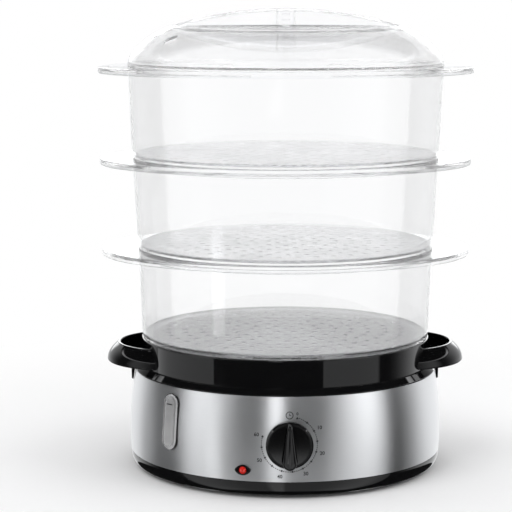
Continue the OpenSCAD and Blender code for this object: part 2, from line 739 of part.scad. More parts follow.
module timer_bell() {
    lip = 1.2;
    color("#c4c6c8") {
        translate([0, timer_back_y, knob_z]) rotate([-90, 0, 0]) difference() {
            rotate_extrude($fn = 64) polygon([
                [0, bell_depth], [bell_r * 0.6, bell_depth], [bell_r, bell_depth * 0.5], [bell_r, 2],
                [bell_r - lip, 2], [bell_r - lip, bell_depth * 0.5 - 0.4],
                [bell_r * 0.6 - 0.4, bell_depth - lip], [0, bell_depth - lip]]);
            translate([0, 0, bell_depth - lip - over])
                cylinder(r = 2.05, h = lip + 2 * over, $fn = small_fn);
        }
        rod_y(2, timer_back_y, timer_back_y + bell_depth + 1, z = knob_z, fn = small_fn);
        rod_y(3.6, timer_back_y + bell_depth, timer_back_y + bell_depth + 1.4, z = knob_z, fn = small_fn);
    }
}

// Two contact springs that the cam presses together, on a post
module timer_contacts() {
    post_x = timer_side / 2 - timer_wall - contact_post.x;
    post_y = timer_front_y + tab_y - 2;
    color("#b98d4f") {
        translate([post_x, post_y, contact_low_z - 5]) cube(contact_post);
        for (i = [0, 1]) translate([post_x + 1, post_y + 1 + i * contact_gap, contact_low_z])
            cube([contact_t, contact_w, contact_len]);
        for (x = [timer_side / 2, -timer_side / 2 - tab_size.x])
            translate([x, timer_front_y + tab_y, contact_low_z]) cube(tab_size);
    }
}

module timer_screws() {
    head_r = 2.6;
    head_t = 1.1;
    // under the head's inner edge the band is nearest to the front
    head_y = -sqrt(pow(band_r(knob_z), 2) - pow(timer_screw_x - head_r, 2)) - 0.05;
    color("#c7c9cb") for (x = [-timer_screw_x, timer_screw_x]) {
        rod_y(timer_screw_r, head_y - head_t / 2, timer_front_y + 2, x = x, z = knob_z, fn = small_fn);
        rod_y(head_r, head_y - head_t, head_y, x = x, z = knob_z, fn = small_fn);
    }
}

module timer_shaft() {
    color("#bfc1c3") difference() {
        rod_y(shaft_r, shaft_front_y, shaft_back_y, z = knob_z);
        translate([-shaft_r, shaft_front_y - over, knob_z + shaft_r * 0.55])
            cube([2 * shaft_r, 9 + over, shaft_r]);
    }
}

// Cam on the shaft, with the notch that lets the contacts open at zero
module timer_cam() {
    color("#f0eee6") difference() {
        rod_y(cam_r, cam_y, cam_y + cam_t, z = knob_z);
        rod_y(shaft_r + 0.03, cam_y - over, cam_y + cam_t + over, z = knob_z);
        translate([cam_r - 2.5, cam_y - over, knob_z - 2.5]) cube([4, cam_t + 2 * over, 5]);
    }
}

// Flat outline of the grip: broad and round below, narrow at the pointer end
module grip_outline() {
    low = -(knob_r - knob_grip_w / 2 - 0.5);
    high = knob_r - knob_tip_w / 2 - 0.6;
    translate([0, low]) circle(d = knob_grip_w, $fn = 48);
    translate([0, high]) circle(d = knob_tip_w, $fn = 48);
    polygon([[-knob_grip_w / 2, low], [knob_grip_w / 2, low], [knob_tip_w / 2, high],
             [-knob_tip_w / 2, high]]);
}

module knob() {
    chamfer = 1;
    hub_depth = 3;
    color("#121213") difference() {
        union() {
            translate([0, knob_back_y, knob_z]) rotate([90, 0, 0]) rotate_extrude()
                polygon([[0, 0], [knob_r, 0], [knob_r, knob_disc_t - chamfer],
                         [knob_r - chamfer, knob_disc_t], [0, knob_disc_t]]);
            translate([0, knob_face_y + 0.2, knob_z]) face_front(knob_grip_h + 0.2) grip_outline();
        }
        rod_y(knob_bore_r, shaft_front_y - 0.5, knob_back_y + over, z = knob_z);
        translate([0, knob_back_y, knob_z]) rotate([90, 0, 0]) translate([0, 0, -over])
            difference() {
                cylinder(r = knob_r - 2, h = hub_depth + over);
                cylinder(r = knob_bore_r + 3, h = hub_depth + 2 * over, $fn = 48);
            }
    }
}

// Split spring sleeve that grips the shaft in the knob's bore
module knob_clip() {
    color("#9a9da0") difference() {
        rod_y(shaft_r + shaft_fit + clip_t, shaft_front_y + 1, knob_back_y - 1, z = knob_z);
        rod_y(shaft_r + shaft_fit, shaft_front_y, knob_back_y, z = knob_z);
        translate([-0.6, shaft_front_y, knob_z - shaft_r - 2]) cube([1.2, 20, shaft_r]);
    }
}

// ---------------------------------------------------------------- lamp and gauge

// Puts children, drawn at the origin and facing -Y, where the lamp sits on the band
module lamp_place() {
    translate([-lamp_x, lamp_y, lamp_z]) rotate([0, 0, -lamp_tilt]) children();
}

module lamp_bezel() {
    color("#111112") lamp_place() difference() {
        union() {
            translate([0, -lamp_seat, 0]) face_front(lamp_proud - lamp_seat) rotate(90) oval(lamp_h, lamp_w);
            rod_y(lamp_neck_r, 0, lamp_len);
        }
        rod_y(lamp_lens_r + 0.05, -lamp_proud - over, lamp_len + over);
    }
}

module lamp_lens() {
    flare = 0.9;
    color("#b4121a") lamp_place() {
        rod_y(lamp_lens_r, -lamp_proud + 0.3, 2.5);
        translate([0, -lamp_proud + 0.3, 0]) intersection() {
            translate([0, 4.5, 0]) sphere(r = 4.5 + flare);
            rod_y(lamp_lens_r, -flare - 1, 0.1);
        }
    }
}

module neon_lamp() {
    color("#e6c9b8") lamp_place() {
        rod_y(2.4, 3, 11, fn = 24);
        for (s = [-1, 1]) rod_y(0.4, 11, 16, x = s * 1.2, fn = 16);
    }
}

// Puts children where the middle of the gauge is, facing -Y and leaning with the band
module gauge_place() {
    mid_r = (band_r(gauge_low_z) + band_r(gauge_high_z)) / 2;
    rotate(-gauge_angle) translate([0, -mid_r, gauge_z]) rotate([-gauge_lean, 0, 0]) children();
}

module gauge_neck_outline() {
    oval(gauge_w - 2 * gauge_flange - 2 * gauge_neck_gap, gauge_h - 2 * gauge_flange - 2 * gauge_neck_gap);
}

// Cone of the tank's outside, grown by an amount
module tank_cone(grow) {
    translate([0, 0, tank_floor_z - 10])
        cylinder(r1 = tank_out_r(tank_floor_z - 10) + grow, r2 = tank_out_r(web_z) + grow,
                 h = web_z - tank_floor_z + 10, $fn = 128);
}

module gauge_window() {
    rise = 1;
    color([0.85, 0.88, 0.9, 0.6]) difference() {
        gauge_place() {
            translate([0, -0.9, 0]) face_front(gauge_proud - rise) oval(gauge_w, gauge_h);
            translate([0, -0.9 - gauge_proud + rise, 0]) face_front(rise)
                oval(gauge_w - 2.4, gauge_h - 2.4);
            translate([0, gauge_neck_len, 0]) face_front(gauge_neck_len + 1) gauge_neck_outline();
        }
        tank_cone(gauge_seal_t);
        gauge_place() translate([0, gauge_neck_len + 13, 0]) face_front(gauge_neck_len + 12)
            oval(gauge_w - 2 * gauge_flange - 4, gauge_h - 2 * gauge_flange - 4);
    }
}

module gauge_seal() {
    color("#2a2a2a") intersection() {
        gauge_place() translate([0, gauge_neck_len + 9, 0]) face_front(16) difference() {
            oval(gauge_w - 1, gauge_h - 1);
            oval(gauge_w - 2 * gauge_flange - 4, gauge_h - 2 * gauge_flange - 4);
        }
        difference() {
            tank_cone(gauge_seal_t);
            tank_cone(0);
        }
    }
}

// ---------------------------------------------------------------- cord outlet and leads

module cord_gland() {
    out_y = band_r(gland_z);
    color("#181818") difference() {
        union() {
            rod_y(gland_neck_r, out_y - 11, out_y + 1, z = gland_z);
            rod_y(gland_neck_r + 2, out_y + 0.1, out_y + 3, z = gland_z);
            rod_y(gland_neck_r - 0.8, out_y + 2.5, out_y - 11 + gland_len, z = gland_z);
            rod_y(gland_neck_r + 1.5, out_y - 11, out_y - 8.5, z = gland_z);
        }
        rod_y(gland_bore_r, out_y - 12, out_y + gland_len, z = gland_z);
    }
}

module terminal_block() {
    color("#e4e2da") difference() {
        translate([-block_size.x / 2, block_y - block_size.y / 2, pan_inside_z]) cube(block_size);
        for (i = [-1 : 1]) translate([i * block_pitch, block_y, pan_inside_z + 7])
            cylinder(r = 2, h = 6, $fn = 24);
    }
}

// Places on the routes: clear of the heater, beside the timer's tabs and under the element's pins
lead_clear_r = heater_hole_r + 30;
lead_pass_r = heater_hole_r + 8;
lead_tab_x = timer_side / 2 + 2.6;
lead_tab_y = timer_front_y + tab_y + 1.8;
lead_tab_z = contact_low_z;
lead_start_y = block_y - block_size.y / 2;
lead_pin_x = element_ring_r * sin(element_gap_angle / 2);
lead_pin_y = -element_ring_r * cos(element_gap_angle / 2);

module lead_live() {
    color("#6b3b1d") lead([
        [-block_pitch, lead_start_y, lead_z], [-block_pitch, lead_start_y - lead_straight, lead_z],
        [-0.75 * lead_clear_r, 0.9 * lead_clear_r, lead_z], [-lead_clear_r, 0, lead_z],
        [-0.75 * lead_clear_r, -0.95 * lead_clear_r, lead_z],
        [-lead_tab_x - lead_bow, lead_tab_y + lead_sweep, (lead_z + lead_tab_z) / 2 - 6],
        [-lead_tab_x, lead_tab_y, lead_tab_z]]);
}

module lead_switched() {
    color("#6b3b1d") lead([
        [lead_tab_x, lead_tab_y, lead_tab_z],
        [lead_tab_x + lead_bow, lead_tab_y + lead_sweep, (lead_z + lead_tab_z) / 2 - 6],
        [lead_pin_x * 2, 1.43 * -lead_pass_r, lead_z], [lead_pin_x, 0.8 * -lead_pass_r, lead_z],
        [lead_pin_x, lead_pin_y, lead_end_z]]);
}

module lead_neutral() {
    color("#2f5fa8") lead([
        [block_pitch, lead_start_y, lead_z], [block_pitch, lead_start_y - 1.2 * lead_straight, lead_z],
        [0.81 * lead_pass_r, 0.95 * lead_pass_r, lead_z], [0.81 * lead_pass_r, -0.48 * lead_pass_r, lead_over_z],
        [0.33 * lead_pass_r, -lead_pass_r, lead_over_z], [-0.14 * lead_pass_r, -0.9 * lead_pass_r, lead_over_z],
        [-lead_pin_x, lead_pin_y, lead_end_z]]);
}

module lead_earth() {
    color("#5f9a3a") lead([
        [0, lead_start_y, lead_z], [0, lead_start_y - 2.2 * lead_straight, lead_z], [0, heater_hole_r + 7, lead_z + 2],
        [0, heater_hole_r + 7, tank_under_z - clamp_t]]);
}

// ---------------------------------------------------------------- steam ring and drip tray

module steam_ring() {
    foot_z = tank_floor_z;
    top_z = foot_z + steam_h;
    color("#e6e6e4") difference() {
        rotate_extrude() polygon([
            [steam_r, foot_z], [steam_r + steam_wall + 1.5, foot_z],
            [steam_r + steam_wall + 1.5, foot_z + 2], [steam_r + steam_wall, foot_z + 3],
            [steam_top_r + steam_wall, top_z - 4], [steam_top_r + steam_wall + 3, top_z - 1.8],
            [steam_top_r + steam_wall + 3, top_z], [steam_top_r, top_z], [steam_r, foot_z + 4]]);
        for (i = [0 : steam_notches - 1]) rotate(360 * i / steam_notches)
            translate([steam_r - 3, -steam_notch_w / 2, foot_z - over])
                cube([10, steam_notch_w, steam_notch_h + over]);
    }
}

module drip_tray() {
    rim_r = collar_in_r - 0.5;
    wall_r = collar_in_r - ledge_w - 0.5;
    color("#d9dbdc") difference() {
        rotate_extrude($fn = 128) polygon([
            [tower_r - tray_wall, tray_floor_z], [wall_r - 3, tray_floor_z],
            [wall_r - 0.5, tray_floor_z + 2.5], [wall_r, ledge_z], [rim_r, ledge_z],
            [rim_r, ledge_z + tray_rim_t], [wall_r - tray_wall, ledge_z + tray_rim_t],
            [wall_r - tray_wall - 0.5, tray_floor_z + tray_wall + 2],
            [wall_r - tray_wall - 2.5, tray_floor_z + tray_wall],
            [tower_r, tray_floor_z + tray_wall], [tower_r, tower_top_z - 1], [tower_r - 1, tower_top_z],
            [0, tower_top_z], [0, tower_top_z - tray_wall], [tower_r - tray_wall, tower_top_z - tray_wall]]);
        for (i = [0 : tower_slots - 1]) rotate(360 * (i + 0.5) / tower_slots)
            translate([tower_r - tray_wall - over, -tower_slot_w / 2, tower_slot_z])
                cube([tray_wall + 2 * over, tower_slot_w, tower_top_z - tray_wall - tower_slot_z - 0.4]);
    }
}

// ---------------------------------------------------------------- bowls

module bowl_shell(i) {
    low_r = bowls[i][0];
    top_r = bowls[i][1];
    seat = seat_z(i);
    top = seat + bowl_pitch;
    ring_r = nest_r(i);
    drop = i == 0 ? nest_drop_1 : nest_drop;
    hole_r = top_r - bowl_wall;
    rotate_extrude($fn = 128) polygon([
        [ring_r, seat - drop], [ring_r, seat], [low_r - 0.8, seat], [low_r, seat + 0.8],
        [top_r, top - rim_t], [top_r + 0.6, top - rim_t / 2], [hole_r, top - rim_t / 2],
        [low_r - bowl_wall, seat + shoulder_t + 0.8], [low_r - bowl_wall - 0.8, seat + shoulder_t],
        [ring_r - bowl_wall - floor_ledge_w, seat + shoulder_t],
        [ring_r - bowl_wall - floor_ledge_w, seat], [ring_r - bowl_wall, seat],
        [ring_r - bowl_wall, seat - drop]]);
    translate([0, 0, top - rim_t]) linear_extrude(rim_t) difference() {
        rim_outline(bowls[i][2], bowls[i][3]);
        circle(r = hole_r, $fn = 128);
    }
    translate([0, 0, top - rim_t - rim_lip]) linear_extrude(rim_lip + 0.5) difference() {
        rim_outline(bowls[i][2], bowls[i][3]);
        rim_outline(bowls[i][2] - 1.6, bowls[i][3] - 1.6);
        circle(r = top_r - 0.5, $fn = 128);
    }
}

// Perforated floor that lies on the ledge in bowl i
module bowl_floor(i) {
    disc_r = bowls[i][0] - bowl_wall - 1.2;
    rings = floor((nest_r(i) - bowl_wall - floor_ledge_w - floor_hole_r - 1.5) / floor_hole_pitch);
    translate([0, 0, seat_z(i) + shoulder_t]) linear_extrude(floor_t) difference() {
        circle(r = disc_r, $fn = 128);
        for (ring = [1 : rings], k = [0 : 6 * ring - 1]) rotate(60 * k / ring)
            translate([ring * floor_hole_pitch, 0]) circle(r = floor_hole_r, $fn = 20);
        circle(r = floor_hole_r, $fn = 20);
    }
}

module bowl_1_shell() {
    color([0.86, 0.88, 0.9, 0.45]) bowl_shell(0);
}

module bowl_1_floor() {
    color([0.8, 0.82, 0.84, 0.6]) bowl_floor(0);
}

module bowl_2_shell() {
    color([0.86, 0.88, 0.9, 0.45]) bowl_shell(1);
}

module bowl_2_floor() {
    color([0.8, 0.82, 0.84, 0.6]) bowl_floor(1);
}

module bowl_3_shell() {
    color([0.86, 0.88, 0.9, 0.45]) bowl_shell(2);
}

module bowl_3_floor() {
    color([0.8, 0.82, 0.84, 0.6]) bowl_floor(2);
}

// ---------------------------------------------------------------- lid

// Outline of the lid's domed shoulder, inset by an amount, from the skirt to the dish's rim
function shoulder_points(inset) = [for (k = [0 : lid_curve_steps]) curve(
    [lid_r - inset, lid_z + lid_skirt_h],
    [lid_r + lid_shoulder[0] - inset, lid_z + lid_shoulder[1] - 0.4 * inset],
    [dish_r + 1, dish_rim_z - inset], k / lid_curve_steps)];

// Points of the dish's hollow, inset by an amount, from its rim to the middle
function dish_points(inset) = [for (k = [0 : lid_curve_steps]) let (r = dish_r * (1 - k / lid_curve_steps))
    [r, dish_rim_z - dish_depth + dish_ball_r - sqrt(pow(dish_ball_r, 2) - r * r) - inset]];

// Long body of the grip ridge, thinner by an inset on every side
module grip_body(inset) {
    lens_y = grip_lens_r - grip_w / 2 + inset;
    intersection() {
        translate([0, lens_y, dish_rim_z - 60]) cylinder(r = grip_lens_r, h = 100, $fn = 192);
        translate([0, -lens_y, dish_rim_z - 60]) cylinder(r = grip_lens_r, h = 100, $fn = 192);
        translate([0, 0, dish_rim_z + grip_rise - grip_arch_r])
            rod_y(grip_arch_r - inset, -grip_w, grip_w, fn = 192);
    }
}

// Everything above the dish's sheet, down to the middle of its thickness
module above_dish() {
    translate([0, 0, dish_rim_z - dish_depth + dish_ball_r])
        sphere(r = dish_ball_r + lid_wall / 2, $fn = 192);
}

module lid() {
    ring_r = bowl_3_top_r - bowl_wall - nest_gap + 0.6;
    color([0.9, 0.92, 0.94, 0.4]) difference() {
        union() {
            rotate_extrude($fn = 128) polygon(concat(
                [[ring_r, lid_z - lid_drop], [ring_r, lid_z], [lid_r, lid_z]],
                shoulder_points(0), dish_points(0),
                [for (k = [lid_curve_steps : -1 : 0]) dish_points(lid_wall)[k]],
                [for (k = [lid_curve_steps : -1 : 0]) shoulder_points(lid_wall)[k]],
                [[ring_r - lid_wall, lid_z + 1], [ring_r - lid_wall, lid_z - lid_drop]]));
            intersection() {
                grip_body(0);
                above_dish();
            }
        }
        intersection() {
            grip_body(lid_wall);
            translate([-dish_r, -grip_w, dish_rim_z - dish_depth - lid_wall - over])
                cube([2 * dish_r, 2 * grip_w, 60]);
        }
        around(vent_place_r, vent_angles) translate([0, 0, dish_rim_z - 30])
            rotate(vent_slant) linear_extrude(40) oval(vent_w, vent_len);
    }
}

base_pan();
base_ring();
rubber_feet();
steel_band();
upper_housing();
left_handle();
right_handle();
base_screws();
heater_cup();
heater_element();
heater_seal();
heater_clamp_ring();
heater_screws();
dry_boil_thermostat();
thermal_fuse();
timer_case();
timer_cover();
timer_bell();
timer_contacts();
timer_screws();
timer_shaft();
timer_cam();
knob();
knob_clip();
lamp_bezel();
lamp_lens();
neon_lamp();
gauge_window();
gauge_seal();
terminal_block();
cord_gland();
lead_live();
lead_switched();
lead_neutral();
lead_earth();
steam_ring();
drip_tray();
bowl_1_shell();
bowl_1_floor();
bowl_2_shell();
bowl_2_floor();
bowl_3_shell();
bowl_3_floor();
lid();
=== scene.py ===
"""Looks of a three-tier electric food steamer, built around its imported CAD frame.

Lengths in the classes are millimetres; meshes are made in metres, in the frame of the CAD.
"""

import logging
import math
from collections.abc import Callable, Iterable, Sequence
from dataclasses import dataclass
from enum import Enum

import bpy
from mathutils import Matrix, Vector


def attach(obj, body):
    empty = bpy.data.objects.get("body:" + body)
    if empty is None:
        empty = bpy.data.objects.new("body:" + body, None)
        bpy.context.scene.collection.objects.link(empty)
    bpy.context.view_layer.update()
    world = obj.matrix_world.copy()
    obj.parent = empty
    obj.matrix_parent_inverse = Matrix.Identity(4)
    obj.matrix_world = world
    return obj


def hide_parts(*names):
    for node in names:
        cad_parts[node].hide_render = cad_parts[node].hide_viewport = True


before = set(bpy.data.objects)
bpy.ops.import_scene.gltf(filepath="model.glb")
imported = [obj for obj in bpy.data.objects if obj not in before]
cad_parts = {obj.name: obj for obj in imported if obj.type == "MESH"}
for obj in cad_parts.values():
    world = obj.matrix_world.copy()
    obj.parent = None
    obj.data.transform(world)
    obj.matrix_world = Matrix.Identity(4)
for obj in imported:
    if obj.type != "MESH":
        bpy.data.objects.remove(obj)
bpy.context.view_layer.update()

LOG = logging.getLogger("steamer")
MM = 0.001
FULL_TURN = 360.0
MERGE_GAP = 2e-6
PICTURE_SIDE = 512
WHITE = (1.0, 1.0, 1.0, 1.0)
JET = (0.0024, 0.0024, 0.0027)
UP = (0.0, 0.0, 1.0)
FRONT = (0.0, -1.0, 0.0)
BACK = (0.0, 1.0, 0.0)

Point2 = tuple[float, float]
Point3 = tuple[float, float, float]
Colour = tuple[float, float, float]
Piece = bpy.types.Object
Socket = bpy.types.NodeSocket


# ---------------------------------------------------------------- modelling by operators


def deselect_all() -> None:
    """Leaves edit mode and selects nothing."""
    if bpy.context.mode != "OBJECT":
        bpy.ops.object.mode_set(mode="OBJECT")
    bpy.ops.object.select_all(action="DESELECT")


def make_active(piece: Piece) -> None:
    """Selects one object alone and makes it the active one."""
    deselect_all()
    piece.select_set(True)
    bpy.context.view_layer.objects.active = piece


def edit(piece: Piece) -> None:
    """Opens one object in edit mode with all of its mesh selected."""
    make_active(piece)
    bpy.ops.object.mode_set(mode="EDIT")
    bpy.ops.mesh.select_all(action="SELECT")


def pick(piece: Piece, wanted: Callable[[Vector], bool]) -> None:
    """Selects the vertices that a test on their place accepts.

    Args:
        piece: The object, left in edit mode.
        wanted: Takes a vertex's place in metres and says whether it is selected.
    """
    edit(piece)
    bpy.ops.mesh.select_all(action="DESELECT")
    bpy.ops.object.mode_set(mode="OBJECT")
    for vertex in piece.data.vertices:
        vertex.select = wanted(vertex.co)
    bpy.ops.object.mode_set(mode="EDIT")


def tidy_mesh(piece: Piece) -> Piece:
    """Merges doubles, turns all faces outwards and leaves edit mode."""
    edit(piece)
    bpy.ops.mesh.remove_doubles(threshold=MERGE_GAP)
    bpy.ops.mesh.normals_make_consistent(inside=False)
    bpy.ops.object.mode_set(mode="OBJECT")
    return piece


def metres(point: Sequence[float]) -> Vector:
    """Turns millimetres into metres."""
    return Vector([c * MM for c in point])


def shift(x: float = 0.0, y: float = 0.0, z: float = 0.0) -> Matrix:
    """Translation by millimetres."""
    return Matrix.Translation(metres((x, y, z)))


def swing(angle: float, axis: str) -> Matrix:
    """Rotation by degrees about an axis."""
    return Matrix.Rotation(math.radians(angle), 4, axis)


def polar(r: float, angle: float, z: float = 0.0) -> Point3:
    """Point at a radius, at an angle in degrees from +X, and at a height."""
    return r * math.cos(math.radians(angle)), r * math.sin(math.radians(angle)), z


def levels(low: float, high: float, steps: int) -> list[float]:
    """Heights in even steps from low to high."""
    return [low + (high - low) * i / steps for i in range(steps + 1)]


def arc(r: float, steps: int) -> list[Point2]:
    """Points of a half circle from +u over +v to -u."""
    return [polar(r, 180 * k / steps)[:2] for k in range(steps + 1)]


def added(name: str) -> Piece:
    """Names the object that an operator has just added and moves its place into its mesh."""
    piece = bpy.context.object
    piece.name = name
    bpy.ops.object.transform_apply(location=True, rotation=True, scale=True)
    return piece


def cap() -> None:
    """Fills the drawn outline with a face and selects all."""
    bpy.ops.mesh.select_all(action="SELECT")
    bpy.ops.mesh.edge_face_add()
    bpy.ops.mesh.select_all(action="SELECT")


def extrude(step: Sequence[float]) -> None:
    """Extrudes the selected region by a vector in millimetres."""
    bpy.ops.mesh.extrude_region_move(TRANSFORM_OT_translate={"value": metres(step)})


def chain(name: str, points: Sequence[Point3]) -> Piece:
    """Draws a chain of edges by extruding one vertex from point to point.

    Args:
        name: Name of the new object.
        points: The points in order, in millimetres.

    Returns:
        The object, left in edit mode with its last vertex selected.
    """
    deselect_all()
    bpy.ops.mesh.primitive_plane_add(size=MM, location=metres(points[0]))
    edit(added(name))
    bpy.ops.mesh.merge(type="CENTER")
    for before, after in zip(points, points[1:]):
        step = metres(after) - metres(before)
        bpy.ops.mesh.extrude_vertices_move(TRANSFORM_OT_translate={"value": step})
    return bpy.context.object


def turned(name: str, outline: Sequence[Point2], steps: int = 160, centre: Point2 = (0.0, 0.0),
           start: float = 0.0, sweep: float = FULL_TURN) -> Piece:
    """Spins a closed outline about an upright axis.

    Args:
        name: Name of the new object.
        outline: (radius, height) points in order; the last one is joined to the first.
        steps: Number of steps in the sweep.
        centre: (x, y) of the axis.
        start: Angle at which the sweep starts, in degrees from +X.
        sweep: Angle of the sweep in degrees.

    Returns:
        A closed mesh object.
    """
    c, s = polar(1.0, start)[:2]
    piece = chain(name, [(centre[0] + r * c, centre[1] + r * s, z) for r, z in [*outline, outline[0]]])
    bpy.ops.mesh.select_all(action="SELECT")
    bpy.ops.mesh.remove_doubles(threshold=MERGE_GAP)
    if sweep < FULL_TURN:
        cap()
    bpy.ops.mesh.spin(steps=steps, angle=-math.radians(sweep), use_auto_merge=sweep >= FULL_TURN,
                      center=metres((centre[0], centre[1], 0.0)), axis=(0.0, 0.0, 1.0))
    return tidy_mesh(piece)


def ring_stack(name: str, rings: Sequence[Point3], sides: int = 160) -> Piece:
    """Stacks oval rings into a closed wall: each ring is extruded from the one before.

    Args:
        name: Name of the new object.
        rings: (half length, half width, height) of each ring in order round the wall.
        sides: Number of vertices of a ring.

    Returns:
        A closed mesh object whose last ring meets its first.
    """
    deselect_all()
    first = rings[0]
    middle = metres((0, 0, first[2]))
    bpy.ops.mesh.primitive_circle_add(vertices=sides, radius=first[0] * MM, location=middle)
    piece = added(name)
    edit(piece)
    if first[1] != first[0]:
        bpy.ops.transform.resize(value=(1.0, first[1] / first[0], 1.0), center_override=middle)
    for before, after in zip(rings, [*rings[1:], first]):
        extrude((0.0, 0.0, after[2] - before[2]))
        bpy.ops.transform.resize(value=(after[0] / before[0], after[1] / before[1], 1.0),
                                 center_override=(0, 0, after[2] * MM))
    return tidy_mesh(piece)


def prism(name: str, outline: Sequence[Point2], depth: float) -> Piece:
    """Extrudes a flat outline drawn on the plane XZ towards -Y.

    Args:
        name: Name of the new object.
        outline: (x, z) points in order.
        depth: Length of the extrusion in millimetres.

    Returns:
        A closed mesh object with its back at y = 0.
    """
    piece = chain(name, [(x, 0.0, z) for x, z in outline])
    cap()
    extrude((0.0, -depth, 0.0))
    return tidy_mesh(piece)


def block(name: str, low: Point3, high: Point3) -> Piece:
    """Adds a box between two corners, as a start for a cut or a plate."""
    deselect_all()
    bpy.ops.mesh.primitive_cube_add(size=1.0, location=metres([(a + b) / 2 for a, b in zip(low, high)]))
    bpy.context.object.scale = metres([b - a for a, b in zip(low, high)])
    return added(name)


def rod(name: str, radius: float, start: Point3, along: Point3, length: float, sides: int = 48) -> Piece:
    """Adds a round rod from a start point along a direction, as a start for a cut or a pin."""
    deselect_all()
    direction = Vector(along).normalized()
    bpy.ops.mesh.primitive_cylinder_add(
        vertices=sides, radius=radius * MM, depth=length * MM,
        location=metres(start) + direction * (length / 2 * MM),
        rotation=direction.to_track_quat("Z", "Y").to_euler())
    return added(name)


def place(piece: Piece, matrix: Matrix) -> Piece:
    """Moves a finished mesh by a matrix in metres and keeps its object at the origin."""
    make_active(piece)
    piece.matrix_world = matrix
    bpy.ops.object.transform_apply(location=True, rotation=True, scale=True)
    return piece


def copy_of(piece: Piece, name: str) -> Piece:
    """Copies a piece with a mesh of its own."""
    twin = piece.copy()
    twin.data = piece.data.copy()
    twin.name = name
    bpy.context.scene.collection.objects.link(twin)
    return twin


def join(pieces: Sequence[Piece]) -> Piece:
    """Joins pieces into the first of them."""
    make_active(pieces[0])
    for piece in pieces[1:]:
        piece.select_set(True)
    if len(pieces) > 1:
        bpy.ops.object.join()
    return pieces[0]


def modify(piece: Piece, kind: str, **settings: object) -> Piece:
    """Adds a modifier to a piece, sets it up and applies it.

    Args:
        piece: The piece that is changed.
        kind: Blender's name of the modifier type.
        settings: Attributes that are set on the modifier.

    Returns:
        The changed piece.
    """
    make_active(piece)
    bpy.ops.object.modifier_add(type=kind)
    modifier = piece.modifiers[-1]
    for key, value in settings.items():
        setattr(modifier, key, value)
    bpy.ops.object.modifier_apply(modifier=modifier.name)
    return piece


class Join(Enum):
    """How a boolean joins a tool to a piece."""

    CUT = "DIFFERENCE"
    ADD = "UNION"
    KEEP = "INTERSECT"


def combine(piece: Piece, tool: Piece, how: Join) -> Piece:
    """Applies a boolean with a tool, which is removed.

    Args:
        piece: The piece that is changed.
        tool: The cutter or the added form.
        how: Kind of boolean.

    Returns:
        The changed piece.
    """
    modify(piece, "BOOLEAN", object=tool, operation=how.value, solver="EXACT")
    bpy.data.objects.remove(tool)
    return piece


def soften(piece: Piece, width: float, segments: int = 3, angle: float = 35.0) -> Piece:
    """Rounds every edge sharper than an angle, with a width in millimetres."""
    return modify(piece, "BEVEL", width=width * MM, segments=segments, limit_method="ANGLE",
                  angle_limit=math.radians(angle), use_clamp_overlap=True)


def rounded(corners: Sequence[tuple[float, float, float]], steps: int = 5) -> list[Point2]:
    """Rounds the corners of an outline.

    Args:
        corners: (u, v, radius) of each corner of the closed outline; radius 0 stays sharp.
        steps: Number of straight steps in a rounded corner.

    Returns:
        The points of the outline in the same order.
    """
    points: list[Point2] = []
    count = len(corners)
    for i, (u, v, radius) in enumerate(corners):
        here = Vector((u, v))
        back = Vector(corners[i - 1][:2]) - here
        ahead = Vector(corners[(i + 1) % count][:2]) - here
        if radius <= 0 or back.length == 0 or ahead.length == 0:
            points.append((u, v))
            continue
        half = back.angle(ahead) / 2
        reach = min(radius / math.tan(half), 0.49 * back.length, 0.49 * ahead.length)
        a, b = here + back.normalized() * reach, here + ahead.normalized() * reach
        for k in range(steps + 1):
            t = k / steps
            p = (1 - t) ** 2 * a + 2 * t * (1 - t) * here + t * t * b
            points.append((p.x, p.y))
    return points


def digits(text: str, size: float, depth: float, fattened: float, steps: int) -> Piece:
    """Raised digits about the origin, facing +Z.

    Args:
        text: The digits.
        size: Height of the line.
        depth: Half of their thickness.
        fattened: How far their outline is grown.
        steps: Steps of a curve.

    Returns:
        A mesh object.
    """
    deselect_all()
    bpy.ops.object.text_add()
    words = bpy.context.object.data
    words.body, words.size, words.resolution_u = text, size * MM, steps
    words.align_x, words.align_y = "CENTER", "CENTER"
    words.extrude, words.offset = depth * MM, fattened * MM
    bpy.ops.object.convert(target="MESH")
    return bpy.context.object


def oval_outline(width: float, height: float, steps: int = 16) -> list[Point2]:
    """Upright outline with half-round ends, as (x, z) points about its middle."""
    rise = (height - width) / 2
    top = [(x, rise + z) for x, z in arc(width / 2, steps)]
    return top + [(-x, -z) for x, z in top]


# ---------------------------------------------------------------- finishes


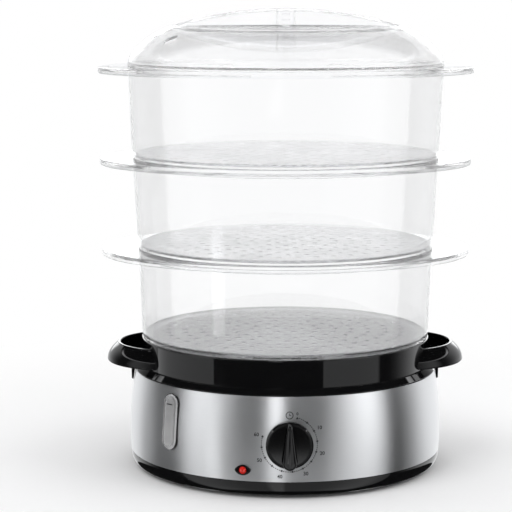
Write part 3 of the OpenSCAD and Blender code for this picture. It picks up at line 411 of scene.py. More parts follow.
class Nodes:
    """Short way to wire a shader tree."""

    def __init__(self, tree: bpy.types.NodeTree) -> None:
        """Empties the tree and keeps it."""
        self.tree = tree
        tree.nodes.clear()

    def add(self, kind: str, values: dict | None = None, **settings: object) -> bpy.types.Node:
        """Adds a node.

        Args:
            kind: Blender's name of the node type.
            values: Input socket name or number to a value or to another node's output socket.
            settings: Attributes that are set on the node.

        Returns:
            The node.
        """
        node = self.tree.nodes.new(kind)
        for key, value in settings.items():
            setattr(node, key, value)
        for key, value in (values or {}).items():
            socket = node.inputs[key]
            if isinstance(value, Socket):
                self.tree.links.new(value, socket)
            else:
                socket.default_value = value
        return node

    def math(self, operation: str, *values: object) -> Socket:
        """Adds a math node and gives its result."""
        return self.add("ShaderNodeMath", dict(enumerate(values)), operation=operation).outputs[0]

    def noise(self, where: Socket, scale: float, detail: float, roughness: float = 0.5) -> Socket:
        """Adds a noise texture and gives its value."""
        return self.add("ShaderNodeTexNoise", {"Vector": where, "Scale": scale, "Detail": detail,
                                               "Roughness": roughness}).outputs["Fac"]

    def remap(self, value: Socket, source: Point2, target: Point2, **settings: object) -> Socket:
        """Maps a value from one range to another."""
        return self.add("ShaderNodeMapRange", {
            "Value": value, "From Min": source[0], "From Max": source[1], "To Min": target[0],
            "To Max": target[1]}, **settings).outputs["Result"]

    def bump(self, height: Socket, strength: float, distance: float) -> Socket:
        """Adds a bump and gives its normal."""
        return self.add("ShaderNodeBump", {"Height": height, "Strength": strength,
                                           "Distance": distance}).outputs["Normal"]

    def blend(self, factor: object, first: object, second: object) -> Socket:
        """Mixes two shaders."""
        return self.add("ShaderNodeMixShader", {0: factor, 1: first, 2: second}).outputs[0]

    def mix(self, factor: Socket, first: Colour, second: Colour) -> Socket:
        """Mixes two colours."""
        values = {0: factor, 6: (*first, 1.0), 7: (*second, 1.0)}
        return self.add("ShaderNodeMix", values, data_type="RGBA").outputs[2]

    def principled(self, values: dict) -> Socket:
        """Adds a Principled shader with its inputs."""
        return self.add("ShaderNodeBsdfPrincipled", values).outputs["BSDF"]


def clamp01(value: float) -> float:
    """Keeps a colour channel between 0 and 1."""
    return min(1.0, max(0.0, value))


def new_material(name: str, wire: Callable[[Nodes, Socket], Socket]) -> bpy.types.Material:
    """Makes a node material.

    Args:
        name: Its name.
        wire: Takes the empty tree and its Object coordinates, and gives the surface shader.

    Returns:
        The material.
    """
    material = bpy.data.materials.new(name)
    material.use_nodes = True
    n = Nodes(material.node_tree)
    surface = wire(n, n.add("ShaderNodeTexCoord").outputs["Object"])
    n.add("ShaderNodeOutputMaterial", {"Surface": surface})
    return material


@dataclass(frozen=True)
class Moulded:
    """A moulded or cast finish: one colour with a fine grain in its colour, gloss and surface."""

    name: str
    colour: Colour
    roughness: float
    grain: float = 0.06
    grain_size: float = 900.0
    bump: float = 0.02
    metallic: float = 0.0
    specular: float = 0.5

    def surface(self, n: Nodes, where: Socket) -> Socket:
        """Wires a Principled shader whose grain reads Object coordinates."""
        fine, broad = n.noise(where, self.grain_size, 3.0), n.noise(where, self.grain_size / 25, 2.0)
        low = tuple(clamp01(c * (1 - self.grain)) for c in self.colour)
        high = tuple(clamp01(c * (1 + self.grain) + self.grain * 0.01) for c in self.colour)
        tone = n.mix(n.math("MULTIPLY", n.math("MULTIPLY", fine, broad), 2.4), low, high)
        return n.principled({
            "Base Color": tone, "Metallic": self.metallic, "Specular IOR Level": self.specular,
            "Roughness": n.remap(broad, (0.3, 0.7), (self.roughness * 0.85, self.roughness * 1.2)),
            "Normal": n.bump(fine, self.bump, 0.0003)})


@dataclass(frozen=True)
class Clear:
    """Clear moulded plastic with faint flow marks, and painted shade that darkens its colour at a glancing
    view.
    """

    name: str
    colour: Colour = (0.985, 0.987, 0.99)
    roughness: float = 0.03
    ior: float = 1.2
    ripple: float = 0.03
    ripple_size: float = 34.0
    haze: float = 0.0
    veil: float = 0.93
    straight: float = 0.0
    # share of the colour that is left at a glancing view: painted shade at the edges of the clear plastic
    glancing: float = 0.7

    def surface(self, n: Nodes, where: Socket) -> Socket:
        """Wires a transmitting shader with painted shade: its colour is darker at a glancing view.

        Returns:
            The shader, with a share of haze or of plain transparency where asked.
        """
        flow = n.noise(where, self.ripple_size, 2.5)
        slant = n.add("ShaderNodeLayerWeight", {"Blend": 0.5}).outputs["Facing"]
        # painted shade: the colour is darkened towards a glancing view, standing in for the dark edges of
        # clear plastic
        tone = n.mix(n.math("POWER", slant, 5.0), self.colour, tuple(c * self.glancing for c in self.colour))
        surface = n.principled({
            "Base Color": tone, "IOR": self.ior, "Transmission Weight": 1.0,
            "Roughness": n.remap(flow, (0.3, 0.7), (self.roughness * 0.6, self.roughness * 1.6)),
            "Normal": n.bump(flow, self.ripple, 0.002)})
        if self.haze > 0:
            veil = n.add("ShaderNodeBsdfDiffuse", {"Color": (self.veil, self.veil, self.veil * 1.01, 1.0)})
            cloud = n.remap(flow, (0.2, 0.8), (self.haze * 0.6, self.haze * 1.4))
            surface = n.blend(cloud, surface, veil.outputs["BSDF"])
        if self.straight > 0:
            surface = n.blend(self.straight, surface, n.add("ShaderNodeBsdfTransparent").outputs[0])
        return surface


@dataclass(frozen=True)
class BrushedSteel:
    """Sheet steel brushed round an upright axis."""

    name: str
    colour: Colour = (0.66, 0.665, 0.675)
    roughness: float = 0.31
    anisotropy: float = 0.85
    streak_length: float = 14.0
    streak_height: float = 5200.0
    depth: float = 0.05

    def surface(self, n: Nodes, where: Socket) -> Socket:
        """Wires an anisotropic metal whose streaks follow the band; their seam is at the rear."""
        axes = n.add("ShaderNodeSeparateXYZ", {0: where})
        angle = n.math("ARCTAN2", axes.outputs["X"], n.math("MULTIPLY", axes.outputs["Y"], -1.0))
        spot = n.add("ShaderNodeCombineXYZ", {
            "X": n.math("MULTIPLY", angle, self.streak_length),
            "Y": n.math("MULTIPLY", axes.outputs["Z"], self.streak_height)})
        streaks, wide = n.noise(spot.outputs[0], 1.0, 4.0, 0.6), n.noise(where, 18.0, 1.0)
        low, high = (tuple(clamp01(c * k) for c in self.colour) for k in (0.93, 1.05))
        sheen = n.math("ADD", n.math("MULTIPLY", streaks, 0.10), n.math("MULTIPLY", wide, 0.03))
        grain = n.add("ShaderNodeTangent", direction_type="RADIAL", axis="Z")
        return n.principled({
            "Base Color": n.mix(streaks, low, high), "Metallic": 1.0, "Anisotropic": self.anisotropy,
            "Roughness": n.math("ADD", sheen, self.roughness - 0.065), "Anisotropic Rotation": 0.25,
            "Tangent": grain.outputs[0], "Normal": n.bump(streaks, self.depth, 0.0002)})


@dataclass(frozen=True)
class Jewel:
    """Red lens, clear enough to glow from inside."""

    name: str
    colour: Colour = (0.86, 0.03, 0.02)
    glow: float = 0.2

    def surface(self, n: Nodes, where: Socket) -> Socket:
        """Wires a clear red with a core that is brighter in patches."""
        facets = n.add("ShaderNodeTexVoronoi", {"Vector": where, "Scale": 620.0})
        tone = n.mix(facets.outputs["Distance"], self.colour, tuple(c * 0.35 for c in self.colour))
        return n.principled({
            "Base Color": tone, "Roughness": 0.08, "IOR": 1.5, "Transmission Weight": 0.35,
            "Emission Color": tone, "Emission Strength": self.glow})


class Finish(Enum):
    """Every finish of the steamer."""

    BLACK_GLOSS = Moulded("black_gloss", JET, 0.035, grain=0.12, grain_size=700.0, bump=0.003)
    HOOD_BLACK = Moulded("hood_black", JET, 0.05, grain=0.12, bump=0.01, specular=0.2)
    BLACK_SATIN = Moulded("black_satin", (0.012, 0.012, 0.013), 0.32, grain=0.15, bump=0.05)
    RUBBER = Moulded("rubber", (0.02, 0.02, 0.021), 0.75, grain=0.2, bump=0.12)
    SILICONE = Moulded("silicone", (0.42, 0.06, 0.035), 0.5)
    BRUSHED = BrushedSteel("brushed_band")
    PRESSED = Moulded("pressed_steel", (0.6, 0.6, 0.59), 0.28, metallic=1.0, grain_size=1600.0)
    SHEATH = Moulded("element_sheath", (0.2, 0.2, 0.21), 0.42, metallic=1.0, grain=0.18)
    PLATED = Moulded("plated_screw", (0.5, 0.51, 0.52), 0.3, metallic=1.0)
    CERAMIC = Moulded("ceramic", (0.8, 0.77, 0.7), 0.45)
    TIMER_BODY = Moulded("timer_body", (0.78, 0.76, 0.7), 0.42)
    BRASS = Moulded("brass", (0.6, 0.42, 0.16), 0.3, metallic=1.0)
    NEON = Moulded("neon_glass", (0.85, 0.55, 0.4), 0.12)
    LEAD_BROWN = Moulded("lead_brown", (0.14, 0.05, 0.02), 0.45)
    LEAD_BLUE = Moulded("lead_blue", (0.03, 0.12, 0.4), 0.45)
    LEAD_GREEN = Moulded("lead_green", (0.12, 0.32, 0.05), 0.45)
    RING_WHITE = Moulded("ring_plastic", (0.8, 0.8, 0.79), 0.35)
    INK = Moulded("dial_ink", (0.012, 0.012, 0.014), 0.45, grain=0.2)
    JEWEL = Jewel("lamp_jewel")
    BOWL_CLEAR = Clear("bowl_plastic", ior=1.25, straight=0.1)
    FLOOR_CLEAR = Clear("floor_plastic", colour=(0.96, 0.965, 0.975), roughness=0.12, ripple=0.06, haze=0.10)
    TRAY_CLEAR = Clear("tray_plastic", colour=(0.93, 0.94, 0.95), roughness=0.1, haze=0.05)
    LID_CLEAR = Clear("lid_plastic", colour=(0.985, 0.987, 0.992), ior=1.2, straight=0.2)
    GAUGE_CLEAR = Clear("gauge_plastic", colour=(0.93, 0.935, 0.945), roughness=0.12, haze=0.4, veil=0.6)


class Paintbox:
    """Makes each finish once and hands it out."""

    def __init__(self) -> None:
        """Starts with no material made."""
        self.made: dict[Finish, bpy.types.Material] = {}

    def get(self, finish: Finish) -> bpy.types.Material:
        """Gives the material of a finish, made on first use."""
        if finish not in self.made:
            self.made[finish] = new_material(finish.value.name, finish.value.surface)
        return self.made[finish]

    def dress(self, piece: Piece, finish: Finish) -> None:
        """Gives a piece one finish all over."""
        piece.data.materials.clear()
        piece.data.materials.append(self.get(finish))


PAINT = Paintbox()


def finish_piece(piece: Piece, body: str, finish: Finish,
                 replaced: Iterable[str] = (), angle: float = 32.0) -> Piece:
    """Smooths, dresses and attaches a finished piece.

    Args:
        piece: The piece, with its place in its mesh.
        body: The CAD body that it rides on.
        finish: Its finish.
        replaced: CAD nodes that it stands for.
        angle: Edges sharper than this many degrees stay sharp.

    Returns:
        The piece.
    """
    make_active(piece)
    bpy.ops.object.shade_smooth_by_angle(angle=math.radians(angle))
    modify(piece, "WEIGHTED_NORMAL", keep_sharp=True)
    PAINT.dress(piece, finish)
    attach(piece, body)
    if replaced:
        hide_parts(*replaced)
    piece.visible_shadow = not isinstance(finish.value, Clear)
    LOG.info("%s: %d faces, rides on %s", piece.name, len(piece.data.polygons), body)
    return piece


# ---------------------------------------------------------------- base


@dataclass
class Base:
    """Pan, base ring, steel band and black housing with its collar."""

    foot_h: float = 2.0
    pan_low_r: float = 123.59
    pan_top_r: float = 129.09
    pan_top_z: float = 14.0
    pan_wall: float = 2.5
    ring_ledge: Point2 = (4.0, 2.0)
    liner_t: float = 1.8
    fit_gap: float = 0.3
    vent: Point2 = (3.0, 46.0)
    vent_pitch: float = 8.0
    vent_y: float = 8.0
    screw_place_r: float = 96.0
    screw_angles: tuple[float, ...] = (0.0, 65.0, 115.0, 180.0, 235.0, 305.0)
    screw_r: float = 1.6
    boss_r: float = 4.5
    belly_r: float = 129.6
    belly_z: float = 30.0
    band_top_r: float = 125.0
    band_top_z: float = 80.7
    sheet: float = 0.7
    collar_r: float = 119.5
    rim_z: float = 108.0
    wall: float = 2.4
    lip_h: float = 5.2
    tank_floor_z: float = 24.5
    tank_low_r: float = 106.9
    tank_top_r: float = 112.2
    ledge_z: float = 101.0
    ledge_w: float = 2.5
    bay_half: float = 33.0
    bay_back: float = 84.4
    bay_top_z: float = 69.6
    heater_hole_r: float = 34.0
    inlet_w: float = 64.0
    inlet_z: Point2 = (91.6, 102.3)

    def band_r(self, z: float) -> float:
        """Outer radius of the steel band at a height."""
        share = (z - self.belly_z) / (self.band_top_z - self.belly_z)
        return self.belly_r - (self.belly_r - self.band_top_r) * share * share

    def band_normal(self, x: float, z: float) -> tuple[Vector, Vector]:
        """Point on the band's front at (x, z) in millimetres, and its outward direction."""
        r = self.band_r(z)
        point = Vector((x, -math.sqrt(r * r - x * x), z))
        lean = (self.band_r(z - 1) - self.band_r(z + 1)) / 2
        return point, Vector((point.x / r, point.y / r, lean)).normalized()

    def screw_places(self, z: float) -> list[Point3]:
        """Places of the base screws at a height."""
        return [polar(self.screw_place_r, angle, z) for angle in self.screw_angles]

    def pan(self) -> None:
        """Flat floor of the base, with its vents and screw holes."""
        low = self.foot_h + 1
        r = self.pan_low_r - self.pan_wall - self.fit_gap
        piece = turned("pan", rounded([(0, low, 0), (r, low, 0.3), (r, low + self.pan_wall, 0.3),
                                       (0, low + self.pan_wall, 0)], 3), 160)
        holes = []
        for k in range(-3, 4):
            slot = prism("vent", oval_outline(*self.vent), 4 * self.pan_wall)
            holes.append(place(slot, shift(k * self.vent_pitch, self.vent_y) @ swing(-90, "X")))
        for at in self.screw_places(0):
            holes.append(rod("screw_hole", self.screw_r + self.fit_gap, at, UP, 4 * self.pan_wall, 24))
        combine(piece, join(holes), Join.CUT)
        finish_piece(piece, "base", Finish.BLACK_GLOSS, ["base_pan"])

    def ring(self, openings: Piece) -> None:
        """Black ring on the pan: its foot shows under the band, which is wrapped round its wall.

        Args:
            openings: The form that cuts the openings of the wall.
        """
        low, top, low_r = self.foot_h + 0.6, self.pan_top_z, self.pan_low_r
        curve = [(low_r + (self.pan_top_r - low_r) * math.sin(math.radians(t)),
                  low + (top - low) * (1 - math.cos(math.radians(t)))) for t in range(6, 91, 6)]
        behind = self.sheet + self.fit_gap
        wall = [(self.band_r(z) - behind, z) for z in levels(top, self.band_top_z - behind, 12)]
        inside = [(r - self.liner_t, z) for r, z in reversed(wall)]
        floor, foot_in = self.foot_h + 1, low_r - self.pan_wall
        ledge, ledge_z = foot_in - self.ring_ledge[0], floor + self.pan_wall
        ledge_top = ledge_z + self.ring_ledge[1]
        outline = [(foot_in, floor), (low_r - 2.2, floor), (low_r - 1.8, 2.5), (low_r - 1.4, 2.15),
                   (low_r - 0.6, 2.2), *curve[:-1], (self.pan_top_r, top - 0.3), (self.pan_top_r - 0.3, top),
                   *wall, *inside, (wall[0][0] - self.liner_t, top - 3), (foot_in, ledge_top),
                   (ledge, ledge_top), (ledge, ledge_z), (foot_in, ledge_z)]
        piece = turned("ring", outline, 192)
        combine(piece, openings, Join.CUT)
        finish_piece(piece, "base", Finish.BLACK_GLOSS, ["base_ring"])

    def band(self, openings: Piece) -> None:
        """Brushed steel band with its openings for the controls, the gauge and the cord outlet.

        Args:
            openings: The form that cuts the openings.
        """
        heights = levels(self.pan_top_z, self.band_top_z, 22)[:-1]
        top, edge_r = self.band_top_z, self.band_top_r
        inner_r = edge_r - self.sheet
        outer = [(self.band_r(z), z) for z in heights]
        lip = [(edge_r + 0.02, top - 0.5), (edge_r - 0.12, top - 0.15), (edge_r - 0.45, top),
               (inner_r - 2.2, top), (inner_r - 2.2, top - self.sheet), (inner_r, top - self.sheet)]
        inner = [(self.band_r(z) - self.sheet, z) for z in reversed(heights)]
        piece = turned("band", [*outer, *lip, *inner], 256)
        combine(piece, openings, Join.CUT)
        finish_piece(piece, "base", Finish.BRUSHED, ["steel_band"], 40.0)

    def housing(self, gauge_neck: Piece) -> None:
        """Black collar in one with the tank, its ledge, the control bay and the two inlets.

        Args:
            gauge_neck: The form of the gauge's neck, which passes through the tank's wall.
        """
        floor, seam, seam_r, w = self.tank_floor_z, self.band_top_z, self.band_top_r, self.wall
        under, web, lip = floor - 2.5, seam + 2.7, seam + self.lip_h
        skirt = seam_r - self.sheet - 2.4
        inner = self.collar_r - w
        ledge, ledge_z, low_r, top_r = inner - self.ledge_w, self.ledge_z, self.tank_low_r, self.tank_top_r
        collar_r, rim_z = self.collar_r, self.rim_z
        outline = rounded([
            (0, under, 0), (low_r + 0.6, under, 1.5), (low_r + w, floor, 1), (top_r + w - 0.5, web - 5.4, 1),
            (skirt, web - 5.4, 0), (skirt, seam, 0), (seam_r - 0.1, seam + 0.05, 0),
            (seam_r + 0.1, seam + 0.8, 0.5), (collar_r + 1.2, lip, 0.7), (collar_r + 0.35, lip, 0.3),
            (collar_r + 0.3, lip - 0.6, 0.2), (collar_r, lip - 0.6, 0.1), (collar_r, rim_z, 0.9),
            (inner, rim_z, 0.5), (inner, ledge_z, 0.4), (ledge, ledge_z, 0.4), (ledge, ledge_z - 1.5, 0.3),
            (inner, ledge_z - 3, 0.3), (inner, web, 1), (top_r, web, 1.2), (low_r, floor + 2, 2),
            (low_r - 2, floor, 1), (0, floor, 0)], 4)
        piece = turned("collar_and_tank", outline, 192)
        bay = block("bay", (-self.bay_half - w, -inner, under),
                    (self.bay_half + w, -self.bay_back + w, self.bay_top_z + w))
        soften(bay, 1.2, 3)
        limit = [(0, under - 1), (low_r + 2, under - 1), (low_r + 4, web), (0, web)]
        combine(bay, turned("bay_limit", limit, 96), Join.KEEP)
        combine(piece, bay, Join.ADD)
        hollow = block("bay_hollow", (-self.bay_half, -self.belly_r, under - 1),
                       (self.bay_half, -self.bay_back, self.bay_top_z))
        combine(piece, hollow, Join.CUT)
        combine(piece, rod("heater_hole", self.heater_hole_r, (0, 0, under - 1), UP, 5, 96), Join.CUT)
        for side in (-1, 1):
            x, half, (low, high) = side * self.collar_r, self.inlet_w / 2, self.inlet_z
            inlet = block("inlet", (x - 7.5, -half, low), (x + 7.5, half, high))
            combine(piece, soften(inlet, 2.0, 4), Join.CUT)
        combine(piece, gauge_neck, Join.CUT)
        self.screw_bosses(piece, under)
        finish_piece(piece, "base", Finish.BLACK_GLOSS, ["upper_housing"])

    def screw_bosses(self, piece: Piece, under: float) -> None:
        """Adds the bosses under the tank that the base screws go into.

        Args:
            piece: The housing.
            under: Height of the underside of the tank's floor.
        """
        foot = self.foot_h + 1 + self.pan_wall
        places, height = self.screw_places(foot), under + 1 - foot
        bosses, bores = [], []
        for at in places:
            bosses.append(rod("boss", self.boss_r, at, UP, height, 32))
            bores.append(rod("bore", self.screw_r, at, UP, height, 24))
        combine(piece, join(bosses), Join.ADD)
        combine(piece, join(bores), Join.CUT)


@dataclass
class Handles:
    """The two hoods at the sides, which are also the mouths for pouring water in."""

    collar_r: float = 119.5
    reach: float = 140.0
    root_w: float = 88.0
    flare: float = 8.5
    bulge: float = 2.2
    rim_z: float = 102.8
    low_z: float = 87.3
    corner: float = 3.4
    wall: float = 2.3
    gusset_w: float = 5.0

    def hood(self) -> Piece:
        """Turns the right hood and cuts it off by the collar.

        Returns:
            The hood with its gusset.
        """
        root_x = math.sqrt(self.collar_r ** 2 - (self.root_w / 2) ** 2)
        rise = self.reach - root_x
        r = ((self.root_w / 2) ** 2 + rise ** 2) / (2 * rise)
        axis = self.reach - r
        low_r, z0, z1 = r + self.flare, self.low_z + 1.5, self.rim_z - 0.7

        def flank(t: float) -> Point2:
            """Point of the convex outside, from the bottom corner at 0 to the rim at 1."""
            return low_r - self.flare * t + 4 * t * (1 - t) * self.bulge, z0 + (z1 - z0) * t

        first, steps = 0.14, 12
        side = [flank(first + (1 - first) * k / steps) for k in range(steps + 1)]
        turn = rounded([(4, self.low_z, 0), (low_r + 0.3, self.low_z, self.corner), (*side[0], 0)], 6)
        inside = [(u - self.wall, v) for u, v in reversed(side[:-1])]
        inner_r, rim_z, floor_z = r - self.wall, self.rim_z, self.low_z + self.wall
        outline = [*turn, *side[1:], (r - 0.15, rim_z - 0.25), (r - 0.55, rim_z), (inner_r + 0.6, rim_z),
                   (inner_r + 0.15, rim_z - 0.25), (inner_r, z1), *inside,
                   (low_r - self.wall - 1.4, floor_z + 0.5), (low_r - self.wall - 3, floor_z), (4, floor_z)]
        piece = turned("handle", outline, 72, (axis, 0.0), -90.0, 180.0)
        form_r = self.collar_r - 0.3
        form = turned("collar_form", [(0, 60), (form_r, 60), (form_r, 130), (0, 130)], 192)
        combine(piece, form, Join.CUT)
        r, top = self.collar_r, self.low_z + 1.0
        outline = [(r - 0.2, top), (r + 9.5, top), (128.54, 70.6), (127.04, 70.0), (125.5, 80.7),
                   (125.6, 82.9), (r + 1.7, 86.1), (r - 0.2, 86.9)]
        gusset = prism("gusset", outline, self.gusset_w)
        place(gusset, shift(y=self.gusset_w / 2))
        combine(piece, soften(gusset, 0.5, 2), Join.ADD)
        return piece

    def build(self) -> None:
        """Makes the right handle, and mirrors it for the left one."""
        right = self.hood()
        left = copy_of(right, "handle_left")
        right.name = "handle_right"
        make_active(left)
        bpy.ops.transform.resize(value=(-1.0, 1.0, 1.0), center_override=(0.0, 0.0, 0.0))
        bpy.ops.object.transform_apply(location=True, rotation=True, scale=True)
        tidy_mesh(left)
        finish_piece(right, "base", Finish.HOOD_BLACK, ["right_handle"])
        finish_piece(left, "base", Finish.HOOD_BLACK, ["left_handle"])


@dataclass
class Controls:
    """Knob, dial print, lamp and water gauge on the steel band."""

    base: Base
    knob_z: float = 44.0
    knob_r: float = 18.5
    knob_back_y: float = -130.2
    disc_t: float = 4.4
    grip_h: float = 11.5
    grip_w: float = 12.5
    tip_w: float = 4.4
    bore_r: float = 3.6
    lamp_x: float = -36.0
    lamp_z: float = 22.9
    lamp_w: float = 13.0
    lamp_h: float = 8.2
    lens_r: float = 3.0
    lamp_neck_r: float = 3.9
    gauge_angle: float = 46.5
    gauge_w: float = 15.8
    gauge_h: float = 44.4
    gauge_z: float = 53.0
    dot_r: float = 21.7
    number_r: float = 26.6
    screw_x: float = 14.0
    screw_hole_r: float = 1.8
    shaft_hole_r: float = 4.5

    @property
    def grip_low_z(self) -> float:
        """Height of the middle of the grip's broad end, from the knob's axis."""
        return -(self.knob_r - self.grip_w / 2 - 0.5)

    def grip_outline(self, inset: float) -> list[Point2]:
        """Flat outline of the grip, round and broad below and narrow above, inset by an amount."""
        tip_r = self.tip_w / 2
        low, tip = max(self.grip_w / 2 - inset, 0.6), max(tip_r - 0.7 * inset, 0.5)
        high_z = self.knob_r - tip_r - 0.6
        bottom = [(-x, self.grip_low_z + inset * 0.25 - z) for x, z in arc(low, 12)]
        return bottom + [(x, high_z - inset * 0.5 + z) for x, z in arc(tip, 12)]

    def knob(self) -> None:
        """Knob: a disc with a fine chamfer and a grip that narrows towards its crest."""
        disc_r, disc_t = self.knob_r, self.disc_t
        section = [(self.bore_r, 0, 0), (disc_r, 0, 0.3), (disc_r, disc_t - 1.2, 0.25),
                   (disc_r - 1.3, disc_t, 0.3), (disc_r - 2.0, disc_t, 0.2),
                   (disc_r - 2.25, disc_t - 0.35, 0.2), (self.bore_r, disc_t - 0.35, 0)]
        disc = turned("knob_body", rounded(section, 3), 128)
        place(disc, swing(90, "X"))
        layers = [(0.0, 0.0), (0.15, 3.6), (0.4, 7.0), (0.75, 8.3), (1.3, 9.1), (2.1, 9.75), (3.0, 10.3),
                  (4.0, 10.8), (4.9, 11.2), (5.6, self.grip_h)]
        grip = chain("grip", [(x, 0.0, z) for x, z in self.grip_outline(0.0)])
        cap()
        for (inset, height), (next_inset, next_height) in zip(layers, layers[1:]):
            pick(grip, lambda v: abs(v.y + height * MM) < 1e-6)
            extrude((0.0, -(next_height - height), 0.0))
            half = self.grip_w / 2 - inset
            factor = (half - (next_inset - inset)) / half
            tall = 1 - (next_inset - inset) / (2 * self.knob_r)
            bpy.ops.transform.resize(value=(factor, 1.0, tall),
                                     center_override=metres((0.0, 0.0, self.grip_low_z * 0.2)))
        tidy_mesh(grip)
        place(grip, shift(y=-(disc_t - 0.6)))
        piece = join([disc, grip, rod("knob_hub", self.bore_r + 1.6, (0, -0.2, 0), FRONT, 3.6, 48)])
        place(piece, shift(y=self.knob_back_y, z=self.knob_z))
        piece.name = "knob_body"
        finish_piece(piece, "knob_and_shaft", Finish.BLACK_GLOSS, ["knob"], 38.0)

    def on_band(self, x: float, z: float, leaning: bool = False) -> Matrix:
        """Matrix that puts a form, drawn at the origin and facing -Y, on the band at (x, z).

        Args:
            x: Place across.
            z: Height.
            leaning: Whether the form follows the band's slope, as print does.

        Returns:
            The matrix, in metres.
        """
        point, normal = self.base.band_normal(x, z)
        upright = Matrix.Translation(point * MM) @ Matrix.Rotation(math.atan2(normal.x, -normal.y), 4, "Z")
        return upright @ Matrix.Rotation(-math.asin(normal.z), 4, "X") if leaning else upright

    def lamp(self) -> None:
        """Lamp: an eye-shaped black bezel round a red jewel."""
        half_w, half_h = self.lamp_w / 2, self.lamp_h / 2
        eye = [(half_w * math.cos(t), half_h * math.copysign(abs(math.sin(t)) ** 1.35, math.sin(t)))
               for t in (2 * math.pi * k / 40 for k in range(40))]
        bezel = prism("lamp_rim", eye, 1.5)
        soften(bezel, 0.55, 3, 50)
        combine(bezel, rod("neck", self.lamp_neck_r, (0, 12.9, 0), FRONT, 13.2, 40), Join.ADD)
        combine(bezel, rod("bore", self.lens_r + 0.05, (0, 14, 0), FRONT, 20, 40), Join.CUT)
        spot = self.on_band(self.lamp_x, self.lamp_z)
        place(bezel, spot @ shift(y=-0.12))
        finish_piece(bezel, "base", Finish.BLACK_GLOSS, ["lamp_bezel"])
        deselect_all()
        bpy.ops.mesh.primitive_uv_sphere_add(segments=12, ring_count=8, radius=self.lens_r * MM)
        jewel = added("lamp_jewel")
        edit(jewel)
        bpy.ops.mesh.bisect(plane_co=(0, 0.0002, 0), plane_no=BACK, clear_outer=True, use_fill=True)
        bpy.ops.transform.resize(value=(1.0, 0.62, 1.0), center_override=(0, 0, 0))
        tidy_mesh(jewel)
        place(jewel, spot @ shift(y=-0.55))
        finish_piece(jewel, "base", Finish.JEWEL, ["lamp_lens"], 8.0)

    def gauge_matrix(self) -> Matrix:
        """Matrix of the gauge: a form drawn at the origin and facing -Y comes to the band."""
        half, band_r = self.gauge_h / 2, self.base.band_r
        low_r, high_r = band_r(self.gauge_z - half), band_r(self.gauge_z + half)
        lean = Matrix.Rotation(-math.atan2(low_r - high_r, self.gauge_h), 4, "X")
        return swing(-self.gauge_angle, "Z") @ shift(y=-(low_r + high_r) / 2, z=self.gauge_z) @ lean

    def oval(self, name: str, grow: float, depth: float, behind: float = 0.0, steps: int = 20) -> Piece:
        """Plate with the gauge's outline, drawn at the origin.

        Args:
            name: Name of the new object.
            grow: How much longer and wider than the gauge it is.
            depth: Its thickness.
            behind: How far its back lies behind y = 0.
            steps: Steps of a rounded end.

        Returns:
            A closed mesh object.
        """
        outline = oval_outline(self.gauge_w + grow, self.gauge_h + grow, steps)
        return place(prism(name, outline, depth), shift(y=behind))

    def gauge_neck(self, grow: float, depth: float) -> Piece:
        """Form of the gauge's neck, grown by an amount, as a cutter through band and tank."""
        neck = self.oval("gauge_cut", grow - 4.2, depth, steps=16)
        return place(neck, self.gauge_matrix() @ shift(y=depth - 8))

    def gauge(self) -> None:
        """Water gauge: a long clear window with a rounded lens in a raised rim."""
        rim = soften(self.oval("gauge_lens", 0.0, 1.3), 0.8, 4, 50)
        combine(rim, soften(self.oval("lens", -5.4, 2.0), 1.6, 6, 50), Join.ADD)
        groove = combine(self.oval("groove", -2.6, 1.6, -0.75), self.oval("keep", -4.6, 3.0, 0.5), Join.CUT)
        combine(rim, groove, Join.CUT)
        combine(rim, self.oval("neck", -4.8, 14.0, 13.5), Join.ADD)
        spot = self.gauge_matrix()
        place(rim, spot @ shift(y=-0.9))
        finish_piece(rim, "base", Finish.GAUGE_CLEAR, ["gauge_window"])
        # painted shadow: a thin black satin ring proud of the band stands in for the dark line of shade
        # round the gauge window
        seat = combine(self.oval("gauge_shadow_line", 0.9, 0.9), self.oval("hole", -0.6, 3.0, 1.0), Join.CUT)
        place(seat, spot @ shift(y=-0.5))
        finish_piece(seat, "base", Finish.BLACK_SATIN)
        mark = block("gauge_mark", (-2.9, -0.14, -0.4), (2.9, 0.0, 0.4))
        place(mark, spot @ shift(y=-3.1, z=14.2))
        finish_piece(mark, "base", Finish.INK)

    def dial_spot(self, angle: float, radius: float) -> Point2:
        """(x, z) on the band at an angle clockwise from the top of the dial."""
        up, across = polar(radius, angle)[:2]
        return across, self.knob_z + up

    def mark_at(self, angle: float, radius: float, size: float, sides: int) -> Piece:
        """A printed dot or triangle on the band, at an angle clockwise from the top of the dial."""
        dot = rod("dot", size, (0, 0.1, 0), FRONT, 0.17, sides)
        return place(dot, self.on_band(*self.dial_spot(angle, radius), True))

    def number_at(self, text: str, x: float, z: float, size: float) -> Piece:
        """A printed number whose middle is on the band at (x, z)."""
        return place(digits(text, size, 0.07, 0.11, 3), self.on_band(x, z, True) @ swing(90, "X"))

    def print_dial(self) -> None:
        """Minute scale round the knob: dots, a start mark, numbers and a small clock."""
        first, last, minutes = 16.5, 286.0, 60
        marks = [self.mark_at(first, self.dot_r - 0.5, 1.35, 3)]
        for minute in range(1, minutes + 1):
            angle = first + (last - first) * minute / minutes
            bold = minute % 5 == 0
            marks.append(self.mark_at(angle, self.dot_r, 0.85 if bold else 0.5, 12 if bold else 6))
            if minute % 10 == 0:
                marks.append(self.number_at(str(minute), *self.dial_spot(angle, self.number_r), 4.0))
        marks.append(self.number_at("0", 6.2, self.knob_z + 23.7, 3.2))
        ring = turned("clock", [(2.35, 0), (3.05, 0), (3.05, 0.14), (2.35, 0.14)], 40)
        hand = block("hand", (-0.28, -0.1, -0.28), (0.28, 0.04, 1.6))
        short = block("short", (-0.28, -0.1, -0.28), (1.2, 0.04, 0.28))
        place(ring, swing(90, "X"))
        place(ring, shift(y=0.05))
        clock = join([ring, hand, short])
        marks.append(place(clock, self.on_band(0.1, self.knob_z + 22.6, True)))
        piece = join(marks)
        piece.name = "dial_print"
        finish_piece(piece, "base", Finish.INK)

